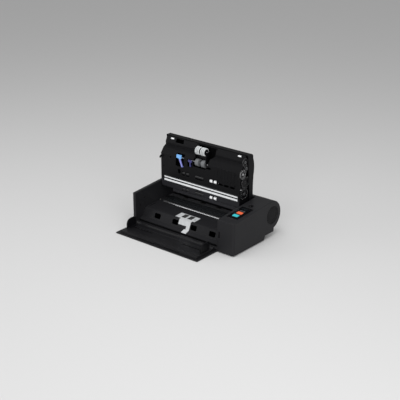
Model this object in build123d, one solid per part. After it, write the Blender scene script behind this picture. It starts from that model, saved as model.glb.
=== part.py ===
from build123d import *
import math
import os

# A sheet-fed document scanner for large sheets, with its upper unit swung open and its feed tray
# folded down. Millimetres. X runs from the left wall to the control housing, Y from the front to
# the back, Z up. While a piece is built, Y is 0 at the front face and Z is 0 on the table. When it
# is written, everything moves along Y so that the origin is at the middle of the open machine.

# Overall body
BODY_WIDTH = 424.0
BODY_DEPTH = 249.0
FRONT_HEIGHT = 110.0          # top of the side walls at the front face
LEFT_WALL = 12.0              # left wall, cover and frame plate together
HOUSING_WIDTH = 65.0          # control housing on the right, cover and frame plate together
DRUM_RADIUS = 49.0            # the round back of the body
DRUM_HEIGHT = 76.0            # centre of the round back above the table
UNDERCUT_START = 88.5         # how far in front of the back the bottom leaves the table
UNDERCUT_RUN = 6.0            # length of the steep slope up from the table
UNDERCUT_LIFT = 16.0          # height of the bottom under the round back, above the table
TAIL_STEP = 35.0              # how far in front of the back the upright step stands
BODY_LIFT = 2.0               # the rubber feet hold the body this far off the table

# Walls and fits
CUT = 1.0                     # how far a cutting shape runs past what it cuts
SHELL = 2.5                   # wall of the moulded covers
PLATE = 2.0                   # side frame plates
CORNER_ROUND = 8.0            # upright front corner of the control housing
EDGE_ROUND = 2.0
RUN_FIT = 0.05                # radial clearance of a shaft in its hole
SEAM = 0.4                    # gap between neighbouring covers
PAPER_GAP = 2.0               # room between the upper and the lower guide
SEAT = 0.3                    # gap round a piece that lies in a pocket

# Hinge of the upper unit and the paper path
HINGE_SETBACK = 71.0          # hinge in front of the back of the body
HINGE_DROP = 0.0              # hinge below the front height of the walls
HINGE_OVER_PATH = 54.0        # hinge above the upper guide's face, square to it
PATH_TILT = 3.0               # the path climbs to the back by this many degrees
OPEN_ANGLE = 90.0 + PATH_TILT # the inner face stands upright when the unit is open
HINGE_PIN_RADIUS = 4.0
UNIT_GAP = 2.0                # upper unit to each side wall
UNIT_REAR = 10.0              # upper unit behind the hinge
FRONT_REVEAL = 11.0           # front edge of the closed upper unit behind the front face

# Places along the path, measured from the front face
PICKUP_Y = 32.5
FEED_Y = 73.5
ROLLER_LEAD = 2.5             # the tilted path puts a roller this much further from the hinge
RAMP_TOP_Y = 50.0
RAMP_FOOT_Y = 33.0
WELL_FRONT_Y = 18.0
WELL_HEIGHT = 15.0
RAMP_FOOT_HEIGHT = 20.0
RAMP_CREST_RUN = 5.0          # rounded top of the ramp
RAMP_CREST_DROP = 1.5

# Places along the path, measured in front of the hinge
IDLER_FRONT_S = 59.0
IDLER_REAR_S = 2.0
SCAN_S = 24.0                 # middle of the scan window
SCAN_WINDOW = 24.0
SCAN_MARGIN = 17.5            # scan window to each side of the channel
STRIPS = ((29.8, 4.4), (19.4, 6.4))  # place and width of each white strip

# Rollers
FEED_ASIDE = 2.5              # feed and pickup rollers left of the channel's middle
PICKUP_RADIUS = 13.5
PICKUP_WIDTH = 19.0
PICKUP_SPACING = 22.0
PICKUP_RIBS = 24
FEED_RADIUS = 12.5
FEED_WIDTH = 13.0
FEED_SPACING = 25.4
RETARD_RADIUS = 9.0
SHAFT_RADIUS = 3.0
FRONT_ROLLER_RADIUS = 6.0
IDLER_RADIUS = 6.0
IDLER_WIDTH = 11.0
IDLER_CENTRE_WIDTH = 34.0
IDLER_OFFSETS = (50.0, 66.8)
IDLER_POSTS = (-76.0, -25.0, 25.0, 76.0)
IDLER_SHAFT_REACH = 79.0
IDLER_ROOM = 7.5              # half the window of an idler
ROLLER_DROP = 0.3             # driven rollers under the lower guide's face
RETARD_SHAFT_REACH = 34.0
REAR_TYRE_RADIUS = 7.0
REAR_TYRE_WIDTH = 16.0
REAR_TYRE_OFFSETS = (33.5, 110.0)
NIP = 0.3                     # gap left at each pair of rollers

# Feed tray
TRAY_REACH = 97.5             # front edge of the open tray in front of the body
TRAY_PIVOT = 6.5              # hinge line behind the front face and above the table
TRAY_PANEL = 3.5
TRAY_HEIGHT = 10.0
TRAY_LIP = 10.0               # outer panel shows this far round the raised tray
TRAY_GAP = 1.0
TRAY_BARREL = 6.0
TRAY_PIN_RADIUS = 3.0
GUIDE_OFFSET = 155.0          # document guides at their widest
GUIDE_HEIGHT = 30.0
GUIDE_FRONT = 61.0
GUIDE_REAR = 20.0
GUIDE_THICK = 4.0
GUIDE_TRAVEL = 90.0
GUIDE_RUN_Y = -40.0           # the guides' slot in the tray
GUIDE_SLOT = 4.6
GUIDE_STEM = (-1.0, 3.0)      # the stem under a guide, from its inner face outwards
GUIDE_LEDGE = 10.0            # flat foot that a guide spreads under the sheets
GUIDE_LIFT = 0.4              # guides over the tray
RACK_BACK = 4.0
RACK_SPARE = 24.0             # length of rack past the travel
RACK_START = 3.0              # teeth of the rack past the pinion's middle
PINION_RADIUS = 8.0
PINION_STUD = 2.0
TRAY_GROOVES = (-80.0, -73.0, -28.0)
GROOVE_WIDTH = 1.2
GROOVE_DEPTH = 0.6
MARK_Y = -52.0                # point of the centre mark on the tray
MARK_LENGTH = 13.0
MARK_TURN = 40.0
RIDGE_HEIGHT = 14.5           # ridge along the rear of the tray
EXTENSION_WIDTH = 180.0

# Control panel on top of the housing, measured along the sloping top from the front
PANEL_FRONT = 34.0
PANEL_LENGTH = 84.0
PANEL_WIDTH = 44.0
PANEL_THICK = 1.2
PANEL_ASIDE = 2.0             # keys and button left of the housing's middle
KEY_WIDTH = 20.0
START_KEY_Y = 54.0
START_KEY_LENGTH = 14.0
STOP_KEY_Y = 75.0
STOP_KEY_LENGTH = 13.5
SMALL_KEY_Y = 89.5
SMALL_KEY_LENGTH = 5.0
SMALL_KEY_NAMES = ("left_small_key", "right_small_key")
DISPLAY_Y = 103.0
DISPLAY_LENGTH = 13.0
DISPLAY_WIDTH = 27.0
KEY_PROUD = 1.2
KEY_TRAVEL = 0.8
BUTTON_Y = 135.0
BUTTON_RADIUS = 9.0
BUTTON_FLANGE = 1.5
BUTTON_DISH = 20.0            # radius of the hollow in the button's top
PANEL_LEDGE = 4.0             # rim of the cover that the panel lies on
KEY_DEPTH = 3.0
KEY_ROUND = 2.0
SMALL_KEY_SIDE = 1.2
DISPLAY_THICK = 2.3
CAP_RADIUS = 30.0
CAP_RECESS = 1.5
CAP_SETBACK = 4.0             # cap behind the centre of the round back
CAP_RINGS = (3.0, 12.0)       # grooves, in from the rim
CAP_RING_WIDTH = 2.0

# Separation cover
SEPARATION_WIDTH = 82.0
APRON_LEFT = 16.0             # apron's edges left and right of the rollers' middle, on the ramp
APRON_RIGHT = 32.5
NECK_WIDTH = 14.0
TAB_WIDTH = 19.5

# Lower body
FOOT_RADIUS = 7.0
FRAME_HOLES = ((43.6, 82.0), (24.0, 61.0))
FRAME_HOLE_RADIUS = 2.5
RIB_Y = 97.0                  # ribs of the pan that carry the bed
RIB_THICK = 4.0
RIB_SPACING = 110.0
RIB_WIDTH = 80.0
PAN_WALL_RISE = 15.6          # pan's rear wall over the lifted bottom
BACK_RISE = 16.0              # lower edge of the round back over the lifted bottom
BUSH_WALL = 2.5
TURN_RADIUS = 23.0            # turn rollers inside the round back
TURN_SETBACK = 14.0           # their axis behind the centre of the round back
TURN_RAISE = 6.0              # and above it
TURN_PLACES = (30.0, 110.0)   # turn rollers to each side of the middle
TURN_WIDTH = 28.0
TURN_GUIDE_GAP = 2.5
BED_THICK = 2.5
BED_REAR_S = -6.0
GLASS_REAR_S = 11.0
GLASS_FIT = 0.2
GLASS_MARGIN = 4.0            # glass and front roller's window past the scanned width
BED_CUT = 12.0                # depth of the cuts through the bed
NOTCH_PITCH = 78.0            # four notches in the ramp
NOTCH_ASIDE = 5.5             # their middle right of the channel's
NOTCH_WIDTH = 26.0
NOTCH_HEIGHT = 16.0
NOTCH_ROUND = 4.0
NOTCH_DROP = 1.5              # notches below the middle of the ramp
COVER_LENGTH = 33.0           # separation cover along the path
COVER_THICK = 1.5
MOTOR_AHEAD = 118.0           # motor in front of the hinge
MOTOR_BELOW = 13.0            # and below the path's plane under the hinge
MOTOR_RADIUS = 18.0
MOTOR_LENGTH = 36.0
MOTOR_SHAFT = 2.0
BRACKET_HALF = 21.0
PULLEY_WIDTH = 7.0
MOTOR_PULLEY_RADIUS = 5.0
SHAFT_PULLEY_RADIUS = 9.0
TURN_PULLEY_RADIUS = 12.0
BOARD_AREA = (60.0, BODY_DEPTH - 70.0, 22.0, 92.0)
BOARD_STANDOFF = 6.0
BOARD_THICK = 1.6
BELT_GAP = 0.3
BELT_THICK = 1.2

# Sockets, from the left edge of their bay and above the table
BAY_WALL = 2.0
BAY_BACK = 2.5
BAY_RIM = 6.0                 # bay's rim in front of the back of the body
INLET_AT = (13.0, 76.0)
INLET_RADIUS = 5.5
INLET_WALL = 1.8
INLET_PIN = 1.0
INLET_LENGTH = 9.0
PORT_AT = (25.0, 37.0, 70.0, 81.0)
PORT_WALL = 0.9
PORT_DEPTH = 8.0
PORT_TONGUE = (28.2, 33.8, 73.0, 78.0)
SOCKET_FIT = 0.1

# Upper unit
FRAME_THICK = 2.0
FRAME_DROP = 8.5              # end frames under the top cover's outside
COVER_OVER_HINGE = 9.5        # outside of the top cover over the hinge
COVER_FRONT_N = 57.0
COVER_LIP_N = 33.0
HUB_WALL = 2.0
GLASS_N = 2.0
GLASS_THICK = 2.0
SCAN_BAR_N = 26.0             # back of the upper scan bar
STRIP_THICK = 0.6
IDLER_SHAFT = 2.0
LATCH_OFFSET = 141.0
LATCH_WIDTH = 12.0
LATCH_WINDOW = (15.5, 49.5)   # window beside the left striker, from the striker's middle
BLUE_OFFSET = 88.0            # levers left of the channel's middle
SMALL_OFFSET = 41.0
SLOT_LENGTH = 20.0            # slots beside the front row of idlers
RIB_COUNT = 6
RIB_PITCH = 13.6
RIB_ASIDE = 73.0              # first paper rib right of the channel's middle
PAPER_RIB = (1.4, 1.3)        # width and height of a paper rib
LEVER_PIN_RADIUS = 1.5
LEVER_BOSS_RADIUS = 4.0
LEVER_FACE = -1.0             # levers stand this far out of the guide
LEVER_TOP = 5.0
ARM_EYE = 6.5                 # round ends of the pickup arm
ARM_PLATE = 2.0
ARM_HALF = 22.5

# Gears, module in millimetres of pitch diameter for each tooth
GEAR_MODULE = 1.0
TOOTH = ((-0.30, -1.1), (-0.21, 0.0), (-0.11, 0.85), (0.11, 0.85), (0.21, 0.0), (0.30, -1.1))
GEAR_WIDTH = 3.2
STUD_RADIUS = 2.5
GEAR_HUB = 2.0                # wall of a gear's hub
TRANSFER_HUB_RADIUS = 6.0
GEAR_RIM = 3.2                # rim of a gear, from its pitch circle inwards
GEAR_DISH = 0.8
GEAR_GAP = 0.4                # gears off the end frame
CLUTCH_AT = (-39.0, 10.0)     # clutch gear and transfer gear from the feed gear
TRANSFER_AT = (67.0, 7.7)
GEAR_TEETH = {"feed_gear": 28, "step_gear": 20, "clutch_gear": 24, "link_gear": 38, "transfer_gear": 36}

# Worked out places
LEFT_X = -BODY_WIDTH / 2
RIGHT_X = BODY_WIDTH / 2
CHANNEL_LEFT = LEFT_X + LEFT_WALL
CHANNEL_RIGHT = RIGHT_X - HOUSING_WIDTH
CHANNEL_X = (CHANNEL_LEFT + CHANNEL_RIGHT) / 2
FEED_X = CHANNEL_X - FEED_ASIDE
DRUM_Y = BODY_DEPTH - DRUM_RADIUS
HINGE_Y = BODY_DEPTH - HINGE_SETBACK
HINGE_Z = FRONT_HEIGHT - HINGE_DROP
UNIT_LEFT = CHANNEL_LEFT + UNIT_GAP
UNIT_RIGHT = CHANNEL_RIGHT - UNIT_GAP
UNIT_REACH = HINGE_Y - FRONT_REVEAL
FRAME_SHIFT = (TRAY_REACH - BODY_DEPTH) / 2
TOP_DISTANCE = math.hypot(DRUM_Y, FRONT_HEIGHT - DRUM_HEIGHT)
TOP_SLOPE = math.degrees(math.asin(DRUM_RADIUS / TOP_DISTANCE)
                         - math.atan2(FRONT_HEIGHT - DRUM_HEIGHT, DRUM_Y))
PICKUP_S = HINGE_Y - PICKUP_Y + ROLLER_LEAD
FEED_S = HINGE_Y - FEED_Y + ROLLER_LEAD
COVER_REAR_N = HINGE_OVER_PATH + COVER_OVER_HINGE
SCAN_LEFT = CHANNEL_LEFT + SCAN_MARGIN
SCAN_RIGHT = CHANNEL_RIGHT - SCAN_MARGIN
BED_N = -PAPER_GAP
FEED_N = FEED_RADIUS + NIP
PICKUP_N = PICKUP_RADIUS + NIP
IDLER_N = IDLER_RADIUS
TURN_Y = DRUM_Y + TURN_SETBACK
TURN_Z = DRUM_HEIGHT + TURN_RAISE
GLASS_FRONT_S = IDLER_FRONT_S - FRONT_ROLLER_RADIUS - 3.0
COVER_FRONT_S = HINGE_Y - RAMP_TOP_Y + ROLLER_LEAD + 0.1
COVER_REAR_S = COVER_FRONT_S - COVER_LENGTH
FRAME_LEFT = UNIT_LEFT + SHELL + 0.5
FRAME_RIGHT = UNIT_RIGHT - SHELL - GEAR_WIDTH - 1.3 - FRAME_THICK
GEAR_X = FRAME_RIGHT + FRAME_THICK + GEAR_GAP
HOUSING_X = (CHANNEL_RIGHT + RIGHT_X) / 2
PANEL_X = HOUSING_X - PANEL_ASIDE
PULLEY_X = CHANNEL_RIGHT + PLATE + 6.0
CATCH_SLOT = (CHANNEL_RIGHT + 5.0, CHANNEL_RIGHT + 9.5, -1.0, 2 * SHELL, 49.0, 71.0)
PORT_BAY = (RIGHT_X - 54.0, RIGHT_X - 8.0, BODY_DEPTH - 12.0, BODY_DEPTH, 58.0, 92.0)
FOOT_PLACES = [(x, y) for x in (CHANNEL_LEFT + 20, CHANNEL_RIGHT - 20)
               for y in (40.0, BODY_DEPTH - UNDERCUT_START - 18.0)]
BLUE_X = CHANNEL_X - BLUE_OFFSET
SMALL_X = CHANNEL_X - SMALL_OFFSET
SLOT_ROW = [FEED_X + start for start in (79.0, 103.0, 127.0)]
HOOK_SLOTS = ((FRAME_LEFT - 1.0, FRAME_LEFT + FRAME_THICK + 1.0),
              (FRAME_RIGHT - 1.0, FRAME_RIGHT + FRAME_THICK + GEAR_WIDTH + 1.5))
LEVER_WINDOWS = [(BLUE_X - 16, BLUE_X + 20, FEED_S - 28, FEED_S + 16),
                 (BLUE_X - 6.5, BLUE_X + 5.5, FEED_S - 52, FEED_S - 37),
                 (SMALL_X - 12, SMALL_X + 10, FEED_S - 18.5, FEED_S + 8)]
LEVER_PINS = [(BLUE_X + 12, FEED_S - 32, 6.5), (SMALL_X, FEED_S - 23, 6.5)]
TRAY_LEFT = CHANNEL_LEFT + TRAY_GAP
TRAY_RIGHT = CHANNEL_RIGHT - TRAY_GAP
INSERT_LEFT = TRAY_LEFT + TRAY_LIP
INSERT_RIGHT = TRAY_RIGHT - TRAY_LIP
RACK_LOW = TRAY_PANEL + 0.6
RACK_HIGH = RACK_LOW + 2.6

PATH_FRAME = Pos(0, HINGE_Y, HINGE_Z) * Rot(X=PATH_TILT) * Pos(0, 0, -HINGE_OVER_PATH)
OPEN_FRAME = Pos(0, HINGE_Y, HINGE_Z) * Rot(X=PATH_TILT - OPEN_ANGLE) * Pos(0, 0, -HINGE_OVER_PATH)
TOP_FRAME = Pos(0, 0, FRONT_HEIGHT) * Rot(X=TOP_SLOPE)


def block(x0, x1, y0, y1, z0, z1):
    """A box between two corners."""
    size = (x1 - x0, y1 - y0, z1 - z0)
    return Pos((x0 + x1) / 2, (y0 + y1) / 2, (z0 + z1) / 2) * Box(*size)


def rod(x0, x1, y, z, radius):
    """A round bar along X."""
    return Pos((x0 + x1) / 2, y, z) * Rot(Y=90) * Cylinder(radius, x1 - x0)


def prism(section, x0, x1):
    """A section drawn in Y and Z, run along X."""
    return extrude(Plane.YZ.offset(x0) * section, amount=x1 - x0)


def outline(*points):
    """A closed section through points given as Y and Z."""
    return make_face(Polyline(*points, close=True))


def path_height(y, n=0.0):
    """Height above the table of a line square distance n over the path face, at depth y."""
    tilt = math.radians(PATH_TILT)
    foot_y = HINGE_Y + (HINGE_OVER_PATH - n) * math.sin(tilt)
    foot_z = HINGE_Z - (HINGE_OVER_PATH - n) * math.cos(tilt)
    return foot_z + (y - foot_y) * math.tan(tilt)


NODES = {}


def node(name, *solids):
    """Keep solids under a node's name, to be written at the end."""
    NODES[name] = solids


# Side walls, drawn once as a section and used by every cover

def body_section():
    """Outside of the body seen from the side."""
    slope = math.radians(TOP_SLOPE)
    touch = (DRUM_Y - DRUM_RADIUS * math.sin(slope), DRUM_HEIGHT + DRUM_RADIUS * math.cos(slope))
    start = BODY_DEPTH - UNDERCUT_START
    step = BODY_DEPTH - TAIL_STEP
    walls = outline((0, BODY_LIFT), (start, BODY_LIFT), (start + UNDERCUT_RUN, UNDERCUT_LIFT),
                    (step, UNDERCUT_LIFT), (step, DRUM_HEIGHT), touch, (0, FRONT_HEIGHT))
    return walls + Pos(DRUM_Y, DRUM_HEIGHT) * Circle(DRUM_RADIUS)


SECTION = body_section()
INNER_SECTION = offset(SECTION, amount=-SHELL, kind=Kind.INTERSECTION)


def left_side():
    """Cover of the left wall."""
    seam_x = CHANNEL_LEFT - PLATE
    cover = prism(SECTION, LEFT_X, seam_x)
    cover = fillet(cover.faces().sort_by(Axis.X)[0].edges(), EDGE_ROUND)
    cover -= prism(INNER_SECTION, LEFT_X + SHELL, seam_x)
    node("left_cover", cover)


def side_frames():
    """Frame plates that close both side covers towards the channel."""
    plates = []
    for x0 in (CHANNEL_LEFT - PLATE, CHANNEL_RIGHT):
        plate = prism(SECTION, x0, x0 + PLATE)
        for y, z, radius in shaft_places():
            plate -= rod(x0, x0 + PLATE, y, z, radius + BUSH_WALL)
        plate -= rod(x0, x0 + PLATE, HINGE_Y, HINGE_Z, HINGE_PIN_RADIUS)
        plate -= rod(x0, x0 + PLATE, TRAY_PIVOT, TRAY_PIVOT, TRAY_PIN_RADIUS)
        for y, z in FRAME_HOLES:
            plate -= rod(x0, x0 + PLATE, y, z, FRAME_HOLE_RADIUS)
        plates.append(plate)
    node("side_frames", *plates)


def on_path(s, n):
    """Depth and height of a point s in front of the hinge and n over the path face."""
    spot = PATH_FRAME * Pos(0, -s, n)
    return spot.position.Y, spot.position.Z


FRONT_ROLLER_AT = on_path(IDLER_FRONT_S, -NIP - FRONT_ROLLER_RADIUS - ROLLER_DROP)
REAR_ROLLER_AT = on_path(IDLER_REAR_S, -NIP - REAR_TYRE_RADIUS - ROLLER_DROP)
RETARD_AT = on_path(FEED_S, -NIP - RETARD_RADIUS)
MOTOR_AT = (HINGE_Y - MOTOR_AHEAD, HINGE_Z - HINGE_OVER_PATH - MOTOR_BELOW)
CAP_AT = (DRUM_Y + CAP_SETBACK, DRUM_HEIGHT)


def shaft_places():
    """Depth, height and radius of the shafts that cross the channel in the lower body."""
    return ((*FRONT_ROLLER_AT, SHAFT_RADIUS), (*REAR_ROLLER_AT, SHAFT_RADIUS),
            (TURN_Y, TURN_Z, SHAFT_RADIUS))


def right_side():
    """Cover of the control housing, with the openings for the panel, button and sockets."""
    seam_x = CHANNEL_RIGHT + PLATE
    cover = prism(SECTION, seam_x, RIGHT_X)
    corner = cover.edges().filter_by(Axis.Z).group_by(Axis.X)[-1].sort_by(Axis.Y)[0]
    cover = fillet(corner, CORNER_ROUND)
    cover = fillet(cover.faces().sort_by(Axis.X)[-1].edges(), EDGE_ROUND)
    hollow = prism(INNER_SECTION, seam_x, RIGHT_X - SHELL)
    inner_corner = hollow.edges().filter_by(Axis.Z).group_by(Axis.X)[-1].sort_by(Axis.Y)[0]
    hollow = fillet(inner_corner, CORNER_ROUND - SHELL)
    cover -= hollow
    cover -= rod(RIGHT_X - CAP_RECESS, RIGHT_X, *CAP_AT, CAP_RADIUS + 1.0)
    cover -= TOP_FRAME * panel_plate(SEAM / 2, -PANEL_THICK)
    cover -= TOP_FRAME * panel_plate(-PANEL_LEDGE, -2 * SHELL)
    cover -= TOP_FRAME * Pos(PANEL_X, BUTTON_Y, 0) * Cylinder(BUTTON_RADIUS + SEAM, 4 * SHELL)
    cover -= block(*CATCH_SLOT)
    cover -= block(*PORT_BAY)
    node("right_cover", cover)


def panel_plate(grow, low):
    """The control panel's outline, down to a depth below the sloping top."""
    half = PANEL_WIDTH / 2 + grow
    return block(PANEL_X - half, PANEL_X + half, PANEL_FRONT - grow,
                 PANEL_FRONT + PANEL_LENGTH + grow, low, SHELL)


def port_bay():
    """Open-backed box let into the housing that holds the sockets."""
    x0, x1, y0, y1, z0, z1 = PORT_BAY
    bay = block(x0 + SEAM, x1 - SEAM, y0 + SEAM, y1 - BAY_RIM, z0 + SEAM, z1 - SEAM)
    bay -= block(x0 + BAY_WALL, x1 - BAY_WALL, y0 + BAY_BACK, y1, z0 + BAY_WALL, z1 - BAY_WALL)
    front, back = y0 + SEAM, y0 + BAY_BACK
    inlet_x, inlet_z = x0 + INLET_AT[0], INLET_AT[1]

    def inlet(y, radius, length=INLET_LENGTH):
        return Pos(inlet_x, y, inlet_z) * Rot(X=90) * Cylinder(radius, length)

    def port_block(sizes, inset, y_low, y_high):
        left, right, low, high = sizes
        return block(x0 + left + inset, x0 + right - inset, y_low, y_high, low + inset, high - inset)

    bay -= inlet((front + back) / 2, INLET_RADIUS, PORT_DEPTH)
    bay -= port_block(PORT_AT, 0.0, front - CUT, back + CUT)
    ring = inlet(front + 1, INLET_RADIUS - SOCKET_FIT)
    ring -= inlet(front + 4, INLET_RADIUS - SOCKET_FIT - INLET_WALL)
    ring += inlet(front + 1, INLET_PIN)
    port = port_block(PORT_AT, SOCKET_FIT, front - PORT_DEPTH, back + 0.5)
    port -= port_block(PORT_AT, SOCKET_FIT + PORT_WALL, front - PORT_DEPTH + 3, back + CUT)
    port += port_block(PORT_TONGUE, 0.0, front - PORT_DEPTH + 2, back - 0.5)
    node("port_bay", bay, ring, port)


def rear_cover():
    """Round back between the side frames, with the exit lip at its top."""
    shell = offset(SECTION, amount=-SEAM) - offset(SECTION, amount=-SEAM - SHELL)
    keep = Pos(BODY_DEPTH, DRUM_HEIGHT) * Rectangle(2 * (BODY_DEPTH - DRUM_Y) + 2, 200)
    low = UNDERCUT_LIFT + BACK_RISE
    keep -= Pos(DRUM_Y, low - 50) * Rectangle(200, 100)
    cover = prism(shell & keep, CHANNEL_LEFT, CHANNEL_RIGHT)
    node("rear_cover", cover)


def base_pan():
    """Bottom tray of the body between the side frames."""
    shell = offset(SECTION, amount=-SEAM) - INNER_SECTION
    top = UNDERCUT_LIFT + PAN_WALL_RISE
    keep = Pos(BODY_DEPTH / 2, top / 2) * Rectangle(BODY_DEPTH - 2 * WELL_FRONT_Y, top)
    keep += Pos(BODY_DEPTH - TAIL_STEP - 10, top / 2) * Rectangle(24, top)
    keep -= Pos(BODY_DEPTH, DRUM_HEIGHT) * Rectangle(2 * TAIL_STEP - 2, 200)
    pan = prism(shell & keep, CHANNEL_LEFT, CHANNEL_RIGHT)
    front = outline((WELL_FRONT_Y, BODY_LIFT + SEAM), (WELL_FRONT_Y + SHELL, BODY_LIFT + SEAM),
                    (WELL_FRONT_Y + SHELL, WELL_HEIGHT - SHELL), (WELL_FRONT_Y, WELL_HEIGHT - SHELL))
    pan += prism(front, CHANNEL_LEFT, CHANNEL_RIGHT)
    rib_rear = RIB_Y + RIB_THICK
    rib = outline((RIB_Y, BODY_LIFT + 1), (rib_rear, BODY_LIFT + 1),
                  (rib_rear, path_height(rib_rear, BED_N - SHELL)),
                  (RIB_Y, path_height(RIB_Y, BED_N - SHELL)))
    for x in (CHANNEL_X - RIB_SPACING, CHANNEL_X, CHANNEL_X + RIB_SPACING):
        pan += prism(rib, x - RIB_WIDTH / 2, x + RIB_WIDTH / 2)
    for x, y in FOOT_PLACES:
        if CHANNEL_LEFT < x < CHANNEL_RIGHT:
            pan -= Pos(x, y, BODY_LIFT) * Cylinder(FOOT_RADIUS, 1.0)
    node("base_pan", pan)
    pads = [Pos(x, y, BODY_LIFT / 2 + 0.2) * Cylinder(FOOT_RADIUS - 0.1, BODY_LIFT + 0.4)
            for x, y in FOOT_PLACES]
    node("rubber_feet", *pads)


def lower_bed():
    """Lower paper guide: well, ramp with four notches, and the flat bed under the glass."""
    ramp_top = path_height(RAMP_TOP_Y, BED_N)
    rear_y, rear_z = on_path(BED_REAR_S, BED_N)
    top_line = [(WELL_FRONT_Y, WELL_HEIGHT), (RAMP_FOOT_Y, RAMP_FOOT_HEIGHT),
                (RAMP_TOP_Y - RAMP_CREST_RUN, ramp_top - RAMP_CREST_DROP), (RAMP_TOP_Y, ramp_top),
                (rear_y, rear_z)]
    low_line = [(rear_y, rear_z - SHELL), (RAMP_TOP_Y, ramp_top - SHELL),
                (RAMP_TOP_Y - RAMP_CREST_RUN + 1.5, ramp_top - RAMP_CREST_DROP - SHELL),
                (RAMP_FOOT_Y + 1.0, RAMP_FOOT_HEIGHT - SHELL),
                (WELL_FRONT_Y, WELL_HEIGHT - SHELL)]
    bed = prism(outline(*top_line, *low_line), CHANNEL_LEFT, CHANNEL_RIGHT)
    notch_z = (RAMP_FOOT_HEIGHT + ramp_top) / 2 - NOTCH_DROP
    for step in (-1.5, -0.5, 0.5, 1.5):
        x = CHANNEL_X + NOTCH_ASIDE + step * NOTCH_PITCH
        notch = block(x - NOTCH_WIDTH / 2, x + NOTCH_WIDTH / 2, RAMP_FOOT_Y, RAMP_TOP_Y - 1,
                      notch_z - NOTCH_HEIGHT / 2, notch_z + NOTCH_HEIGHT / 2)
        bed -= fillet(notch.edges().filter_by(Axis.Y), NOTCH_ROUND)
    scan_left, scan_right = SCAN_LEFT - GLASS_MARGIN, SCAN_RIGHT + GLASS_MARGIN
    bed -= PATH_FRAME * block(scan_left, scan_right, -GLASS_FRONT_S, -GLASS_REAR_S, -BED_CUT, 0)
    reach = FRONT_ROLLER_RADIUS + 1.0
    bed -= PATH_FRAME * block(scan_left, scan_right, -IDLER_FRONT_S - reach,
                              -IDLER_FRONT_S + reach, -BED_CUT, 0)
    bed -= rod(CHANNEL_LEFT - 1, CHANNEL_RIGHT + 1, *FRONT_ROLLER_AT, SHAFT_RADIUS + 0.6)
    for offset_x in REAR_TYRE_OFFSETS:
        for side in (-1, 1):
            x = CHANNEL_X + side * offset_x
            half = REAR_TYRE_WIDTH / 2 + 1.5
            bed -= PATH_FRAME * block(x - half, x + half, -IDLER_REAR_S - 6.5, 20, -BED_CUT, 0)
    half = SEPARATION_WIDTH / 2
    bed -= PATH_FRAME * block(FEED_X - half, FEED_X + half, -COVER_FRONT_S, -COVER_REAR_S,
                              BED_N - COVER_THICK, 0)
    bed -= PATH_FRAME * block(FEED_X - half + 3, FEED_X + half - 3, -COVER_FRONT_S + 3,
                              -COVER_REAR_S - 1.5, -BED_CUT, 0)
    bed -= block(FEED_X - APRON_LEFT - SEAT, FEED_X + APRON_RIGHT + SEAT, RAMP_TOP_Y - 7, RAMP_TOP_Y + 2,
                 ramp_top - COVER_THICK - SEAT, ramp_top + 5)
    for x0, x1 in HOOK_SLOTS:
        bed -= PATH_FRAME * block(x0, x1, -FEED_S - 16, -FEED_S + 19, -BED_CUT, 0)
    node("lower_bed", bed)


def scan_bars():
    """Lower scan bar with its wide glass, and the upper bar with glass and two white strips."""
    bar = block(SCAN_LEFT, SCAN_RIGHT, -SCAN_S - 12, -SCAN_S + 10, -22, -BED_THICK - PAPER_GAP)
    node("lower_scan_bar", PATH_FRAME * bar)
    grow = GLASS_MARGIN - GLASS_FIT
    glass = block(SCAN_LEFT - grow, SCAN_RIGHT + grow, -GLASS_FRONT_S + GLASS_FIT,
                  -GLASS_REAR_S - GLASS_FIT, -BED_THICK - PAPER_GAP, -PAPER_GAP)
    node("lower_glass", PATH_FRAME * glass)
    upper_bar = block(SCAN_LEFT, SCAN_RIGHT, -SCAN_S - SCAN_WINDOW / 2, -SCAN_S + SCAN_WINDOW / 2,
                      GLASS_N + GLASS_THICK, SCAN_BAR_N)
    node("upper_scan_bar", OPEN_FRAME * upper_bar)
    upper_glass = block(SCAN_LEFT, SCAN_RIGHT, -SCAN_S - SCAN_WINDOW / 2 + SEAT,
                        -SCAN_S + SCAN_WINDOW / 2 - SEAT, GLASS_N, GLASS_N + GLASS_THICK)
    node("upper_glass", OPEN_FRAME * upper_glass)
    strips = []
    for s, width in STRIPS:
        strips.append(OPEN_FRAME * block(SCAN_LEFT, SCAN_RIGHT, -s - width / 2, -s + width / 2,
                                         GLASS_N - STRIP_THICK, GLASS_N))
    node("white_strips", *strips)


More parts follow.
